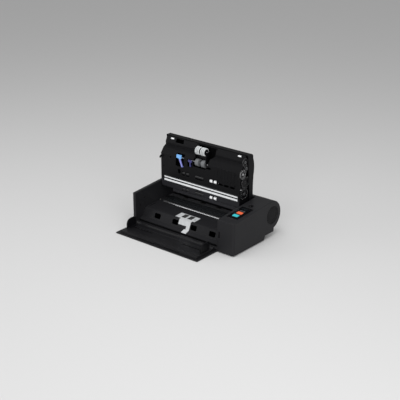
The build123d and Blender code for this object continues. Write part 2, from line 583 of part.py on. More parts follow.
def separation_cover():
    """White cover over the retard rollers, with its apron and the finger tab."""
    half = SEPARATION_WIDTH / 2
    plate = block(FEED_X - half + SEAT, FEED_X + half - SEAT, -COVER_FRONT_S + SEAT,
                  -COVER_REAR_S - SEAT, BED_N - COVER_THICK, BED_N)
    for side in (-1, 1):
        x = FEED_X + side * FEED_SPACING / 2
        plate -= block(x - FEED_WIDTH / 2 - 2.5, x + FEED_WIDTH / 2 + 2.5, -FEED_S - 17,
                       -FEED_S + 7.5, -10, 0)
    plate -= Pos(FEED_X + half - 9, -FEED_S - 8, BED_N) * Cylinder(3.0, 10.0)
    cover = PATH_FRAME * plate
    ramp_top = path_height(RAMP_TOP_Y, BED_N)
    joint_y = RAMP_TOP_Y + 2.5
    foot = (RAMP_FOOT_Y, RAMP_FOOT_HEIGHT)
    crest = (RAMP_TOP_Y - RAMP_CREST_RUN, ramp_top - RAMP_CREST_DROP)
    toe = (WELL_FRONT_Y - 1.8, WELL_HEIGHT - 0.6)
    along = (crest[0] - foot[0], crest[1] - foot[1])
    half_way = (foot[0] + 0.4 * along[0], foot[1] + 0.4 * along[1])
    steep = (-along[1] / math.hypot(*along), along[0] / math.hypot(*along))
    flat = (-0.32, 0.95)
    corner = (-0.72, 0.81)
    inner, outer = 0.2, 0.2 + COVER_THICK

    def off(point, normal, distance):
        return (point[0] + normal[0] * distance, point[1] + normal[1] * distance)

    joint = ((joint_y, path_height(joint_y, BED_N - COVER_THICK)), (joint_y, path_height(joint_y, BED_N)))
    apron = outline(off(half_way, steep, inner), off(crest, steep, inner), *joint,
                    (RAMP_TOP_Y, ramp_top), off(crest, steep, outer), off(half_way, steep, outer))
    right = FEED_X + APRON_RIGHT
    cover += prism(apron, FEED_X - APRON_LEFT, right)
    neck = outline(off(half_way, steep, inner), off(half_way, steep, outer), off(foot, corner, outer),
                   off(foot, corner, inner))
    cover += prism(neck, right - NECK_WIDTH, right)
    tab = outline(off(foot, corner, inner), off(foot, corner, outer), off(toe, flat, outer),
                  off(toe, flat, inner))
    cover += prism(tab, right - TAB_WIDTH, right)
    node("separation_cover", cover)


def roller(x0, x1, y, z, radius, bore=SHAFT_RADIUS):
    """A tyre or roller on a shaft along X."""
    return rod(x0, x1, y, z, radius) - rod(x0 - 1, x1 + 1, y, z, bore)


def lower_rollers():
    """Driven rollers of the lower body, the retard rollers and the turn rollers."""
    y, z = FRONT_ROLLER_AT
    left_end = CHANNEL_LEFT - PLATE
    right_end = PULLEY_X + PULLEY_WIDTH + 1.0
    front = rod(left_end, right_end, y, z, SHAFT_RADIUS)
    front += rod(SCAN_LEFT, SCAN_RIGHT, y, z, FRONT_ROLLER_RADIUS)
    node("front_drive_roller", front,
         roller(PULLEY_X, PULLEY_X + PULLEY_WIDTH, y, z, SHAFT_PULLEY_RADIUS))
    y, z = REAR_ROLLER_AT
    node("rear_drive_shaft", rod(left_end, right_end, y, z, SHAFT_RADIUS),
         roller(PULLEY_X, PULLEY_X + PULLEY_WIDTH, y, z, SHAFT_PULLEY_RADIUS))
    tyres = [roller(CHANNEL_X + side * x - REAR_TYRE_WIDTH / 2, CHANNEL_X + side * x + REAR_TYRE_WIDTH / 2,
                    y, z, REAR_TYRE_RADIUS) for x in REAR_TYRE_OFFSETS for side in (-1, 1)]
    node("rear_drive_tyres", *tyres)
    y, z = RETARD_AT
    tyres = [roller(FEED_X + side * FEED_SPACING / 2 - FEED_WIDTH / 2,
                    FEED_X + side * FEED_SPACING / 2 + FEED_WIDTH / 2, y, z, RETARD_RADIUS)
             for side in (-1, 1)]
    shaft = rod(FEED_X - RETARD_SHAFT_REACH, FEED_X + RETARD_SHAFT_REACH, y, z, SHAFT_RADIUS)
    node("retard_rollers", shaft, *tyres)
    holder = block(FEED_X - 36, FEED_X + 36, y - 16, y + 16, z - 16, z + 4)
    holder -= block(FEED_X - 32, FEED_X + 32, y - 14, y + 14, z - 14, z + 10)
    holder -= rod(FEED_X - 40, FEED_X + 40, y, z, SHAFT_RADIUS + RUN_FIT)
    holder += block(FEED_X - 20, FEED_X + 20, y - 10, y + 10, BODY_LIFT + SHELL, z - 15)
    node("retard_holder", holder)
    middles = [CHANNEL_X + side * x for x in TURN_PLACES for side in (-1, 1)]
    drum = [roller(x - TURN_WIDTH / 2, x + TURN_WIDTH / 2, TURN_Y, TURN_Z, TURN_RADIUS - 1) for x in middles]
    node("turn_rollers", rod(left_end, right_end, TURN_Y, TURN_Z, SHAFT_RADIUS),
         roller(PULLEY_X, PULLEY_X + PULLEY_WIDTH, TURN_Y, TURN_Z, TURN_PULLEY_RADIUS), *drum)
    inside = TURN_RADIUS + TURN_GUIDE_GAP
    guide = Pos(TURN_Y, TURN_Z) * (Circle(inside + PLATE) - Circle(inside))
    guide &= Pos(TURN_Y + 50 - 4, TURN_Z) * Rectangle(100, 100)
    node("turn_guide", prism(guide, CHANNEL_LEFT, CHANNEL_RIGHT))
    bushes = []
    for y, z, radius in shaft_places():
        for x in (CHANNEL_LEFT - PLATE, CHANNEL_RIGHT):
            bushes.append(roller(x, x + PLATE, y, z, radius + BUSH_WALL, radius + RUN_FIT))
    node("shaft_bushes", *bushes)


def drive():
    """Motor, pulleys and belt inside the control housing."""
    y, z = MOTOR_AT
    face = PULLEY_X + PULLEY_WIDTH + 3.0
    motor = rod(face, face + MOTOR_LENGTH, y, z, MOTOR_RADIUS)
    motor -= rod(face - CUT, face + 10, y, z, MOTOR_SHAFT + RUN_FIT)
    low, high = BODY_LIFT + SHELL, z + MOTOR_RADIUS + 3
    front, rear = y - BRACKET_HALF, y + BRACKET_HALF
    bracket = block(CHANNEL_RIGHT + PLATE, PULLEY_X + 30, front, rear, low, low + PLATE)
    bracket += block(face - PLATE, face, front, rear, low, high)
    bracket -= rod(face - PLATE - CUT, face + CUT, y, z, 4 * MOTOR_SHAFT)
    node("drive_motor", motor, bracket)
    pinion = rod(PULLEY_X, PULLEY_X + PULLEY_WIDTH, y, z, MOTOR_PULLEY_RADIUS)
    pinion += rod(PULLEY_X + PULLEY_WIDTH, face + 8, y, z, MOTOR_SHAFT)
    node("motor_pulley", pinion)
    places = [(*FRONT_ROLLER_AT, SHAFT_PULLEY_RADIUS), (*REAR_ROLLER_AT, SHAFT_PULLEY_RADIUS),
              (TURN_Y, TURN_Z, TURN_PULLEY_RADIUS), (*MOTOR_AT, MOTOR_PULLEY_RADIUS)]
    rounds = [Pos(y, z) * Circle(radius + BELT_GAP) for y, z, radius in places]
    path = make_hull([edge for face in rounds for edge in face.edges()])
    belt = offset(path, amount=BELT_THICK) - path
    node("drive_belt", prism(belt, PULLEY_X + 1, PULLEY_X + PULLEY_WIDTH - 1))
    board_x = RIGHT_X - SHELL - BOARD_STANDOFF
    y0, y1, z0, z1 = BOARD_AREA
    spacers = [block(board_x + BOARD_THICK, RIGHT_X - SHELL, y - 3, y + 3, z - 3, z + 3)
               for y in (y0 + 6, y1 - 6) for z in (z0 + 6, z1 - 6)]
    node("circuit_board", block(board_x, board_x + BOARD_THICK, y0, y1, z0, z1), *spacers)


def control_panel():
    """Panel, display, keys and the round release button on the sloping top."""
    panel = panel_plate(0.0, -PANEL_THICK) - panel_plate(1.0, 0.0)
    keys = [("start_key", START_KEY_Y, START_KEY_LENGTH, KEY_WIDTH),
            ("stop_key", STOP_KEY_Y, STOP_KEY_LENGTH, KEY_WIDTH)]
    for _, y, length, width in keys:
        panel -= block(PANEL_X - width / 2 - SEAM, PANEL_X + width / 2 + SEAM,
                       y - length / 2 - SEAM, y + length / 2 + SEAM, -KEY_DEPTH, KEY_DEPTH)
    pitch = KEY_WIDTH / len(SMALL_KEY_NAMES)
    small = [PANEL_X - pitch / 2, PANEL_X + pitch / 2]
    for x in small:
        side = pitch / 2 - SMALL_KEY_SIDE + SEAM
        panel -= block(x - side, x + side, SMALL_KEY_Y - SMALL_KEY_LENGTH / 2 - SEAM,
                       SMALL_KEY_Y + SMALL_KEY_LENGTH / 2 + SEAM, -KEY_DEPTH, KEY_DEPTH)
    half = DISPLAY_WIDTH / 2
    window = (PANEL_X - half, PANEL_X + half, DISPLAY_Y - DISPLAY_LENGTH / 2,
              DISPLAY_Y + DISPLAY_LENGTH / 2)
    panel -= block(*window, -KEY_DEPTH, KEY_DEPTH)
    node("control_panel", TOP_FRAME * panel)
    node("display", TOP_FRAME * block(*window, -SEAT - DISPLAY_THICK, -SEAT))
    for name, y, length, width in keys:
        key = block(PANEL_X - width / 2, PANEL_X + width / 2, y - length / 2, y + length / 2,
                    -KEY_DEPTH, KEY_PROUD)
        key = fillet(key.edges().filter_by(Axis.Z), KEY_ROUND)
        key = fillet(key.faces().sort_by(Axis.Z)[-1].edges(), 0.5)
        node(name, TOP_FRAME * key)
    for name, x in zip(SMALL_KEY_NAMES, small):
        side = pitch / 2 - SMALL_KEY_SIDE
        key = block(x - side, x + side, SMALL_KEY_Y - SMALL_KEY_LENGTH / 2,
                    SMALL_KEY_Y + SMALL_KEY_LENGTH / 2, -KEY_DEPTH, KEY_PROUD / 2)
        node(name, TOP_FRAME * key)
    inset = PANEL_LEDGE + 0.6
    half = PANEL_WIDTH / 2 - inset
    front, rear = PANEL_FRONT + inset, PANEL_FRONT + PANEL_LENGTH - inset
    top = -KEY_DEPTH - KEY_TRAVEL - SEAM
    bottom = top - 1.8
    carrier = block(PANEL_X - half, PANEL_X + half, front, rear, bottom, top)
    for edge in (front, rear - 1.2):
        carrier += block(PANEL_X - half, PANEL_X + half, edge, edge + 1.2, bottom, -PANEL_THICK)
    carrier += block(*window, top, -SEAT - DISPLAY_THICK)
    button = Pos(PANEL_X, BUTTON_Y, -2.5) * Cylinder(BUTTON_RADIUS, 4.0)
    button += Pos(PANEL_X, BUTTON_Y, -6.0) * Cylinder(BUTTON_RADIUS + BUTTON_FLANGE, 3.0)
    button -= Pos(PANEL_X, BUTTON_Y, BUTTON_DISH - 1.4) * Sphere(BUTTON_DISH)
    node("release_button", TOP_FRAME * button)
    cup = Pos(PANEL_X, BUTTON_Y, -10.0) * Cylinder(BUTTON_RADIUS + BUTTON_FLANGE + 2.0, 15.0)
    cup -= Pos(PANEL_X, BUTTON_Y, -8.0) * Cylinder(BUTTON_RADIUS + BUTTON_FLANGE + SEAT, 15.0)
    cup &= block(PANEL_X - 40, PANEL_X + 40, BUTTON_Y - 40, BUTTON_Y + 40, -30, -SHELL)
    node("key_carrier", TOP_FRAME * carrier, TOP_FRAME * cup)
    cap = rod(RIGHT_X - CAP_RECESS, RIGHT_X - SEAT, *CAP_AT, CAP_RADIUS)
    for inset in CAP_RINGS:
        radius = CAP_RADIUS - inset
        ring = rod(RIGHT_X - 0.9, RIGHT_X, *CAP_AT, radius)
        cap -= ring - rod(RIGHT_X - CUT, RIGHT_X, *CAP_AT, radius - CAP_RING_WIDTH)
    node("side_cap", cap)


# Upper unit, drawn on the path frame: Y is minus the distance in front of the hinge, Z is the
# height over the guide's face. It is written swung open.

def open_unit(*solids):
    """Swing pieces of the upper unit from the path frame into the open position."""
    return [OPEN_FRAME * solid for solid in solids]


def cover_section(inset, lip_n, rear_n):
    """Side section of the top cover, drawn inset from its outer skin."""
    rear = UNIT_REAR - inset
    front = -UNIT_REACH + inset
    high = COVER_REAR_N - inset
    brow = COVER_FRONT_N - inset
    edges = [Line((rear, rear_n), (rear, high)),
             ThreePointArc((rear, high), (-50, high - 2.5), (-95, high - 0.3)),
             ThreePointArc((-95, high - 0.3), (-128, high + 2.0), (front + 14, brow + 2.5)),
             ThreePointArc((front + 14, brow + 2.5), (front + 3, brow - 0.5), (front, brow - 5)),
             Line((front, brow - 5), (front, lip_n)),
             Line((front, lip_n), (rear, rear_n))]
    return make_face(edges)


def top_cover():
    """Outer shell of the upper unit, hollowed to the exit face on its back."""
    cover = prism(cover_section(0.0, COVER_LIP_N, 46.0), UNIT_LEFT, UNIT_RIGHT)
    cover -= prism(cover_section(SHELL, 10.0, 20.0), UNIT_LEFT + SHELL, UNIT_RIGHT - SHELL)
    for x in (UNIT_LEFT, UNIT_RIGHT - SHELL):
        cover -= rod(x - 1, x + SHELL + 1, 0, HINGE_OVER_PATH, HINGE_PIN_RADIUS + 1.0)
    node("top_cover", *open_unit(cover))


def guide_line():
    """Face of the inner guide from its rear edge to the front rim."""
    return [(UNIT_REAR - 4, 3.0), (UNIT_REAR - 7, 0.0), (-FEED_S - 5, 0.0),
            (-PICKUP_S + 19, 13.0), (-PICKUP_S + 12, 25.0), (-PICKUP_S + 3, 24.0),
            (-UNIT_REACH + 3, 32.0)]


def recess_outline():
    """Round-cornered well beside the pickup rollers, seen square to the guide."""
    left, right = FEED_X + 12, FEED_X + 49
    far, near = -PICKUP_S - 14.5, -PICKUP_S + 21
    bend = ThreePointArc((right, near - 18), (right - 6, near - 6), (right - 20, near))
    return make_face([Line((left, far), (right, far)), Line((right, far), (right, near - 18)), bend,
                      Line((right - 20, near), (left, near)), Line((left, near), (left, far))])


def inner_guide():
    """Upper paper guide with its windows, ribs and idler brackets."""
    face = guide_line()
    back = [(y + 1.0, n + SHELL) for y, n in reversed(face)]
    guide = prism(outline(*face, *back), FRAME_LEFT + FRAME_THICK, FRAME_RIGHT)
    guide -= block(SCAN_LEFT - 0.5, SCAN_RIGHT + 0.5, -SCAN_S - SCAN_WINDOW / 2 - 0.3,
                   -SCAN_S + SCAN_WINDOW / 2 + 0.3, -1, 9)
    for s in (IDLER_FRONT_S, IDLER_REAR_S):
        for offset_x, width in idler_places():
            x = FEED_X + offset_x
            guide -= block(x - width / 2 - 1, x + width / 2 + 1, -s - IDLER_ROOM, -s + IDLER_ROOM, -CUT, 9)
        for offset_x in IDLER_POSTS:
            x = FEED_X + offset_x
            post = block(x - 1.5, x + 1.5, -s - 4.5, -s + 4.5, SHELL - 0.5, IDLER_N + 4)
            guide += post - rod(x - 2, x + 2, -s, IDLER_N, IDLER_SHAFT + RUN_FIT)
    for x in SLOT_ROW:
        guide -= block(x, x + SLOT_LENGTH, -IDLER_FRONT_S - 2.5, -IDLER_FRONT_S + 5, -1, 5)
    guide -= block(FEED_X - 27, FEED_X + 27, -PICKUP_S - 14.5, -FEED_S + 14, -5, 40)
    guide -= extrude(Plane.XY.offset(-5) * recess_outline(), amount=45)
    guide -= block(FEED_X + 20, FEED_X + 36, -PICKUP_S + 15, -FEED_S - 2, -5, 40)
    guide -= block(FEED_X + 20, FEED_X + 48, -FEED_S + 2, -FEED_S + 10, -5, 9)
    latch_x = CHANNEL_X - LATCH_OFFSET
    guide -= block(latch_x + LATCH_WINDOW[0], latch_x + LATCH_WINDOW[1], -UNIT_REACH + 4.5,
                   -UNIT_REACH + 18, 10, 40)
    guide -= Pos(CHANNEL_LEFT + 47, -FEED_S + 2, 0) * Cylinder(3.0, 9.0)
    for x0, x1, s0, s1 in LEVER_WINDOWS:
        guide -= block(x0, x1, -s1, -s0, -2, 12)
    for index in range(RIB_COUNT):
        x = CHANNEL_X + RIB_ASIDE + index * RIB_PITCH
        width, height = PAPER_RIB
        guide += block(x, x + width, -FEED_S - 6, -IDLER_FRONT_S - 12, -height, 0.2)
    for x, s, top in LEVER_PINS:
        guide += Pos(x, -s, (SHELL + top) / 2) * Cylinder(LEVER_PIN_RADIUS, top - SHELL + 0.4)
    node("inner_guide", *open_unit(guide))


def idler_places():
    """Offset from the rollers' middle and width of each idler on a row."""
    places = [(0.0, IDLER_CENTRE_WIDTH)]
    places += [(side * x, IDLER_WIDTH) for x in IDLER_OFFSETS for side in (-1, 1)]
    return places


def idlers():
    """Two rows of idler rollers on thin shafts."""
    for name, s in (("front", IDLER_FRONT_S), ("rear", IDLER_REAR_S)):
        shaft = rod(FEED_X - IDLER_SHAFT_REACH, FEED_X + IDLER_SHAFT_REACH, -s, IDLER_N, IDLER_SHAFT)
        rollers = [roller(FEED_X + x - w / 2, FEED_X + x + w / 2, -s, IDLER_N, IDLER_RADIUS,
                          IDLER_SHAFT) for x, w in idler_places()]
        node(f"idler_{name}", *open_unit(shaft, *rollers))


def gear_section(y, z, teeth, phase):
    """Spur gear of module one about a centre, with one tooth at the phase angle."""
    pitch_radius = teeth * GEAR_MODULE / 2
    step = 2 * math.pi / teeth
    points = []
    for index in range(teeth):
        middle = phase + index * step
        for share, rise in TOOTH:
            angle = middle + share * step
            reach = pitch_radius + rise * GEAR_MODULE
            points.append((y + reach * math.cos(angle), z + reach * math.sin(angle)))
    return outline(*points)


def between(first, second, reach_first, reach_second, side):
    """Centre of a gear that meshes with two others, on the chosen side of their line."""
    dy, dz = second[0] - first[0], second[1] - first[1]
    gap = math.hypot(dy, dz)
    along = (reach_first**2 - reach_second**2 + gap**2) / (2 * gap)
    across = side * math.sqrt(reach_first**2 - along**2)
    return (first[0] + (along * dy - across * dz) / gap, first[1] + (along * dz + across * dy) / gap)


def gear_centres():
    """Centres of the five gears outside the right end frame."""
    radius = {name: teeth * GEAR_MODULE / 2 for name, teeth in GEAR_TEETH.items()}
    feed = (-FEED_S, FEED_N)
    clutch = (-FEED_S + CLUTCH_AT[0], FEED_N + CLUTCH_AT[1])
    transfer = (-FEED_S + TRANSFER_AT[0], FEED_N + TRANSFER_AT[1])
    step = between(feed, clutch, radius["feed_gear"] + radius["step_gear"],
                   radius["clutch_gear"] + radius["step_gear"], -1)
    link = between(feed, transfer, radius["feed_gear"] + radius["link_gear"],
                   radius["transfer_gear"] + radius["link_gear"], 1)
    return {"feed_gear": feed, "step_gear": step, "clutch_gear": clutch, "link_gear": link,
            "transfer_gear": transfer}


def meshed_phase(driver, driver_phase, follower):
    """Phase that sets a follower's gap on the driver's tooth along their line of centres."""
    centres = gear_centres()
    dy = centres[follower][0] - centres[driver][0]
    dz = centres[follower][1] - centres[driver][1]
    line = math.atan2(dz, dy)
    shift = (driver_phase - line) * GEAR_TEETH[driver] / (2 * math.pi)
    return line + math.pi - (shift + 0.5) * 2 * math.pi / GEAR_TEETH[follower]


def gear_train():
    """Five meshed gears on the right end frame."""
    phases = {"feed_gear": 0.0}
    for driver, follower in (("feed_gear", "step_gear"), ("step_gear", "clutch_gear"),
                             ("feed_gear", "link_gear"), ("link_gear", "transfer_gear")):
        phases[follower] = meshed_phase(driver, phases[driver], follower)
    x0, x1 = GEAR_X, GEAR_X + GEAR_WIDTH
    for name, (y, z) in gear_centres().items():
        bore = SHAFT_RADIUS if name == "feed_gear" else STUD_RADIUS + RUN_FIT
        gear = prism(gear_section(y, z, GEAR_TEETH[name], phases[name]), x0, x1)
        rim = GEAR_TEETH[name] * GEAR_MODULE / 2 - GEAR_RIM
        gear -= rod(x1 - GEAR_DISH, x1 + CUT, y, z, rim)
        hub = TRANSFER_HUB_RADIUS if name == "transfer_gear" else bore + GEAR_HUB
        gear += rod(x0, x1 + GEAR_GAP, y, z, hub)
        gear -= rod(x0 - CUT, x1 + 2 * CUT, y, z, bore)
        node(name, *open_unit(gear))


def end_frames():
    """Side plates of the upper unit with hinge hubs, bearings, gear studs and side hooks."""
    face = guide_line()
    section = outline(*face[:-1], (-UNIT_REACH + 7, 31.0), (-UNIT_REACH + 7, COVER_LIP_N + 13),
                      (-UNIT_REACH + 20, COVER_REAR_N - FRAME_DROP),
                      (-80, COVER_REAR_N - FRAME_DROP + 1), (UNIT_REAR - 4, HINGE_OVER_PATH))
    hook = outline((-FEED_S + 2, 4.0), (-FEED_S + 4, -6.0), (-FEED_S + 9, -9.0), (-FEED_S + 14, -6.0),
                   (-FEED_S + 12.5, -4.5), (-FEED_S + 9.5, -4.5), (-FEED_S + 16, 4.0))
    centres = gear_centres()
    frames = []
    for x0 in (FRAME_LEFT, FRAME_RIGHT):
        x1 = x0 + FRAME_THICK
        frame = prism(section, x0, x1) + prism(hook, x0, x1)
        frame += rod(x0, x1, 0, HINGE_OVER_PATH, HINGE_PIN_RADIUS + HUB_WALL)
        inward = x1 + 5 if x0 < CHANNEL_X else x0 - 5
        frame += rod(min(x1, inward), max(x0, inward), 0, HINGE_OVER_PATH, HINGE_PIN_RADIUS + HUB_WALL)
        frame -= rod(x0 - 9, x1 + 9, 0, HINGE_OVER_PATH, HINGE_PIN_RADIUS + RUN_FIT)
        frame -= rod(x0 - 1, x1 + 1, -FEED_S, FEED_N, SHAFT_RADIUS + RUN_FIT)
        for y, z in ((-30, 36), (-62, 40), (-FEED_S + 12, 42)):
            frame -= rod(x0 - 1, x1 + 1, y, z, 8.0)
        if x0 == FRAME_RIGHT:
            for gear, (y, z) in centres.items():
                if gear != "feed_gear":
                    frame += rod(x1, x1 + GEAR_WIDTH + GEAR_GAP, y, z, STUD_RADIUS)
        frames.append(frame)
    node("end_frames", *open_unit(*frames))


def feed_rollers():
    """Feed shaft with its two tyres, and the pickup arm with its ribbed tyres."""
    node("feed_shaft", *open_unit(rod(FRAME_LEFT, GEAR_X + GEAR_WIDTH, -FEED_S, FEED_N, SHAFT_RADIUS)))
    tyres = [roller(FEED_X + side * FEED_SPACING / 2 - FEED_WIDTH / 2,
                    FEED_X + side * FEED_SPACING / 2 + FEED_WIDTH / 2, -FEED_S, FEED_N, FEED_RADIUS)
             for side in (-1, 1)]
    node("feed_tyres", *open_unit(*tyres))
    shaft = rod(FEED_X - 24.5, FEED_X + 24.5, -PICKUP_S, PICKUP_N, SHAFT_RADIUS)
    points = []
    for index in range(PICKUP_RIBS):
        middle = 2 * math.pi * index / PICKUP_RIBS
        for share, radius in ((-0.36, -0.9), (-0.24, 0.0), (0.24, 0.0), (0.36, -0.9)):
            angle = middle + share * 2 * math.pi / PICKUP_RIBS
            reach = PICKUP_RADIUS + radius
            points.append((-PICKUP_S + reach * math.cos(angle), PICKUP_N + reach * math.sin(angle)))
    ribbed = outline(*points)
    tyres = []
    for side in (-1, 1):
        middle = FEED_X + side * PICKUP_SPACING / 2
        tyre = prism(ribbed, middle - PICKUP_WIDTH / 2, middle + PICKUP_WIDTH / 2)
        tyres.append(tyre - rod(middle - 30, middle + 30, -PICKUP_S, PICKUP_N, SHAFT_RADIUS))
    node("pickup_rollers", *open_unit(shaft, *tyres))
    ends = Pos(-FEED_S, FEED_N) * Circle(ARM_EYE) + Pos(-PICKUP_S, PICKUP_N) * Circle(ARM_EYE)
    web = make_hull(ends.edges())
    arm = None
    for side in (-1, 1):
        x = FEED_X + side * ARM_HALF
        plate = prism(web, x - ARM_PLATE / 2, x + ARM_PLATE / 2)
        plate -= rod(x - 2, x + 2, -FEED_S, FEED_N, SHAFT_RADIUS + RUN_FIT)
        plate -= rod(x - 2, x + 2, -PICKUP_S, PICKUP_N, SHAFT_RADIUS + RUN_FIT)
        arm = plate if arm is None else arm + plate
    middle = (-FEED_S - PICKUP_S) / 2
    arm += block(FEED_X - 22, FEED_X + 22, middle - 5.5, middle + 5.5, FEED_N + 3.5, FEED_N + 5.5)
    node("pickup_arm", *open_unit(arm))


def on_pin(lever, x, s):
    """Give a lever the round boss and bore that turn on its pin."""
    foot = SHELL + SEAT
    lever += Pos(x, -s, (foot + LEVER_TOP) / 2) * Cylinder(LEVER_BOSS_RADIUS, LEVER_TOP - foot)
    return lever - Pos(x, -s, 4) * Cylinder(LEVER_PIN_RADIUS + RUN_FIT, 8)


def levers():
    """Blue roller lever and the small lever beside it, each on its pin."""
    blue_pin, small_pin = LEVER_PINS
    x, s, _ = blue_pin
    left = BLUE_X - 11
    blue = block(left, left + 20, -FEED_S - 13, -FEED_S - 1, LEVER_FACE, 2.6)
    blue = fillet(blue.edges().filter_by(Axis.Z), 1.5)
    leg = make_face(Polyline((left + 9, -FEED_S - 2), (left + 15, -FEED_S - 2), (x + 2.5, -s - 5.5),
                             (x - 2.5, -s - 5.5), close=True))
    blue += extrude(Plane.XY.offset(LEVER_FACE) * leg, amount=3.2)
    blue += block(x - 2.5, x + 2.5, -s - 8.5, -s - 5.2, LEVER_FACE, LEVER_TOP)
    blue += block(x - 2.5, x + 2.5, -s - 6, -s, SHELL + SEAT, LEVER_TOP)
    blue = on_pin(blue, x, s)
    node("blue_lever", *open_unit(blue))
    x, s, _ = small_pin
    small = block(x - 8, x + 7, -FEED_S - 5, -FEED_S + 2, LEVER_FACE, 2.4)
    small = fillet(small.edges().filter_by(Axis.Z), 1.5)
    small += block(x - 2, x + 2, -FEED_S + 1, -s - 6, -0.6, 2.4)
    small += block(x - 2, x + 2, -s - 9, -s - 5.8, -0.6, LEVER_TOP)
    small += block(x - 2, x + 2, -s - 6, -s, SHELL + SEAT, LEVER_TOP)
    small = on_pin(small, x, s)
    node("small_lever", *open_unit(small))
    (y0, n0), (y1, n1) = guide_line()[-1], guide_line()[-2]
    front, rear = y0 + 3.0, y0 + 7.0
    heights = [n0 + (y - y0) * (n1 - n0) / (y1 - y0) for y in (front, rear)]
    pad = outline((front, heights[0]), (rear, heights[1]), (rear, heights[1] - 2.0),
                  (front + 1, heights[1] - 2.0))
    middles = [CHANNEL_X + side * LATCH_OFFSET for side in (-1, 1)]
    pads = [prism(pad, x - LATCH_WIDTH / 2, x + LATCH_WIDTH / 2) for x in middles]
    node("latch_strikers", *open_unit(*pads))


def hinge_pins():
    """Two pins of the upper unit's hinge and two of the tray's, fixed in the side frames."""
    reach = UNIT_GAP + SHELL + 0.5 + FRAME_THICK + 5
    left = rod(CHANNEL_LEFT - PLATE, CHANNEL_LEFT + reach, HINGE_Y, HINGE_Z, HINGE_PIN_RADIUS)
    right = rod(FRAME_RIGHT - 5, CHANNEL_RIGHT + PLATE, HINGE_Y, HINGE_Z, HINGE_PIN_RADIUS)
    tray = [rod(x - 8, x + 8, TRAY_PIVOT, TRAY_PIVOT, TRAY_PIN_RADIUS)
            for x in (CHANNEL_LEFT + 8 - PLATE, CHANNEL_RIGHT - 8 + PLATE)]
    node("hinge_pins", left, right, *tray)


# Feed tray, drawn folded down as it is written

def feed_tray():
    """Outer panel with the hinge barrel, and the raised tray on it."""
    panel = block(TRAY_LEFT, TRAY_RIGHT, -TRAY_REACH, TRAY_PIVOT, 0, TRAY_PANEL)
    panel = fillet(panel.edges().filter_by(Axis.X).sort_by(Axis.Y)[:2], 1.4)
    panel += rod(TRAY_LEFT, TRAY_RIGHT, TRAY_PIVOT, TRAY_PIVOT, TRAY_BARREL)
    for x in (TRAY_LEFT, TRAY_RIGHT):
        panel -= rod(x - 14, x + 14, TRAY_PIVOT, TRAY_PIVOT, TRAY_PIN_RADIUS + RUN_FIT)
    node("tray_panel", panel)
    front = -TRAY_REACH + TRAY_LIP
    profile = outline((front, TRAY_PANEL), (front + 2, TRAY_HEIGHT), (-9, TRAY_HEIGHT), (-6, RIDGE_HEIGHT),
                      (-1.5, RIDGE_HEIGHT), (-0.4, RIDGE_HEIGHT - 2), (-0.4, TRAY_PANEL))
    insert = prism(profile, INSERT_LEFT, INSERT_RIGHT)
    insert -= block(INSERT_LEFT + 2, INSERT_RIGHT - 2, front + 4, -8, TRAY_PANEL - 1, TRAY_HEIGHT - 2)
    half = EXTENSION_WIDTH / 2 + SEAT
    insert -= block(CHANNEL_X - half, CHANNEL_X + half, front - 1, front + 5, TRAY_PANEL - 1,
                    TRAY_PANEL + 4.7)
    for side in (-1, 1):
        outer = CHANNEL_X + side * (GUIDE_OFFSET + 3.5)
        inner = CHANNEL_X + side * (GUIDE_OFFSET - GUIDE_TRAVEL - 1.5)
        insert -= block(min(outer, inner), max(outer, inner), GUIDE_RUN_Y - GUIDE_SLOT / 2,
                        GUIDE_RUN_Y + GUIDE_SLOT / 2, TRAY_PANEL, TRAY_HEIGHT + CUT)
    for y in TRAY_GROOVES:
        insert -= block(INSERT_LEFT + 4, INSERT_RIGHT - 4, y - GROOVE_WIDTH / 2, y + GROOVE_WIDTH / 2,
                        TRAY_HEIGHT - GROOVE_DEPTH, TRAY_HEIGHT + CUT)
    stroke = Pos(0, -MARK_LENGTH / 2, 0) * Box(GROOVE_WIDTH, MARK_LENGTH, 2 * GROOVE_DEPTH)
    for turn in (-MARK_TURN, MARK_TURN):
        insert -= Pos(CHANNEL_X, MARK_Y, TRAY_HEIGHT) * Rot(Z=turn) * stroke
    stud = Pos(CHANNEL_X, GUIDE_RUN_Y, (TRAY_PANEL + TRAY_HEIGHT) / 2 - 1)
    insert += stud * Cylinder(PINION_STUD, TRAY_HEIGHT - TRAY_PANEL - 2)
    node("tray_insert", insert)
    ext = block(CHANNEL_X - EXTENSION_WIDTH / 2, CHANNEL_X + EXTENSION_WIDTH / 2, front - 1.5,
                GUIDE_RUN_Y - PINION_RADIUS - 6.5, TRAY_PANEL + SEAT, TRAY_PANEL + 4.4)
    ext -= block(CHANNEL_X - 12, CHANNEL_X + 12, front - 2, front + 3, TRAY_PANEL + 2, TRAY_PANEL + 6)
    node("tray_extension", ext)


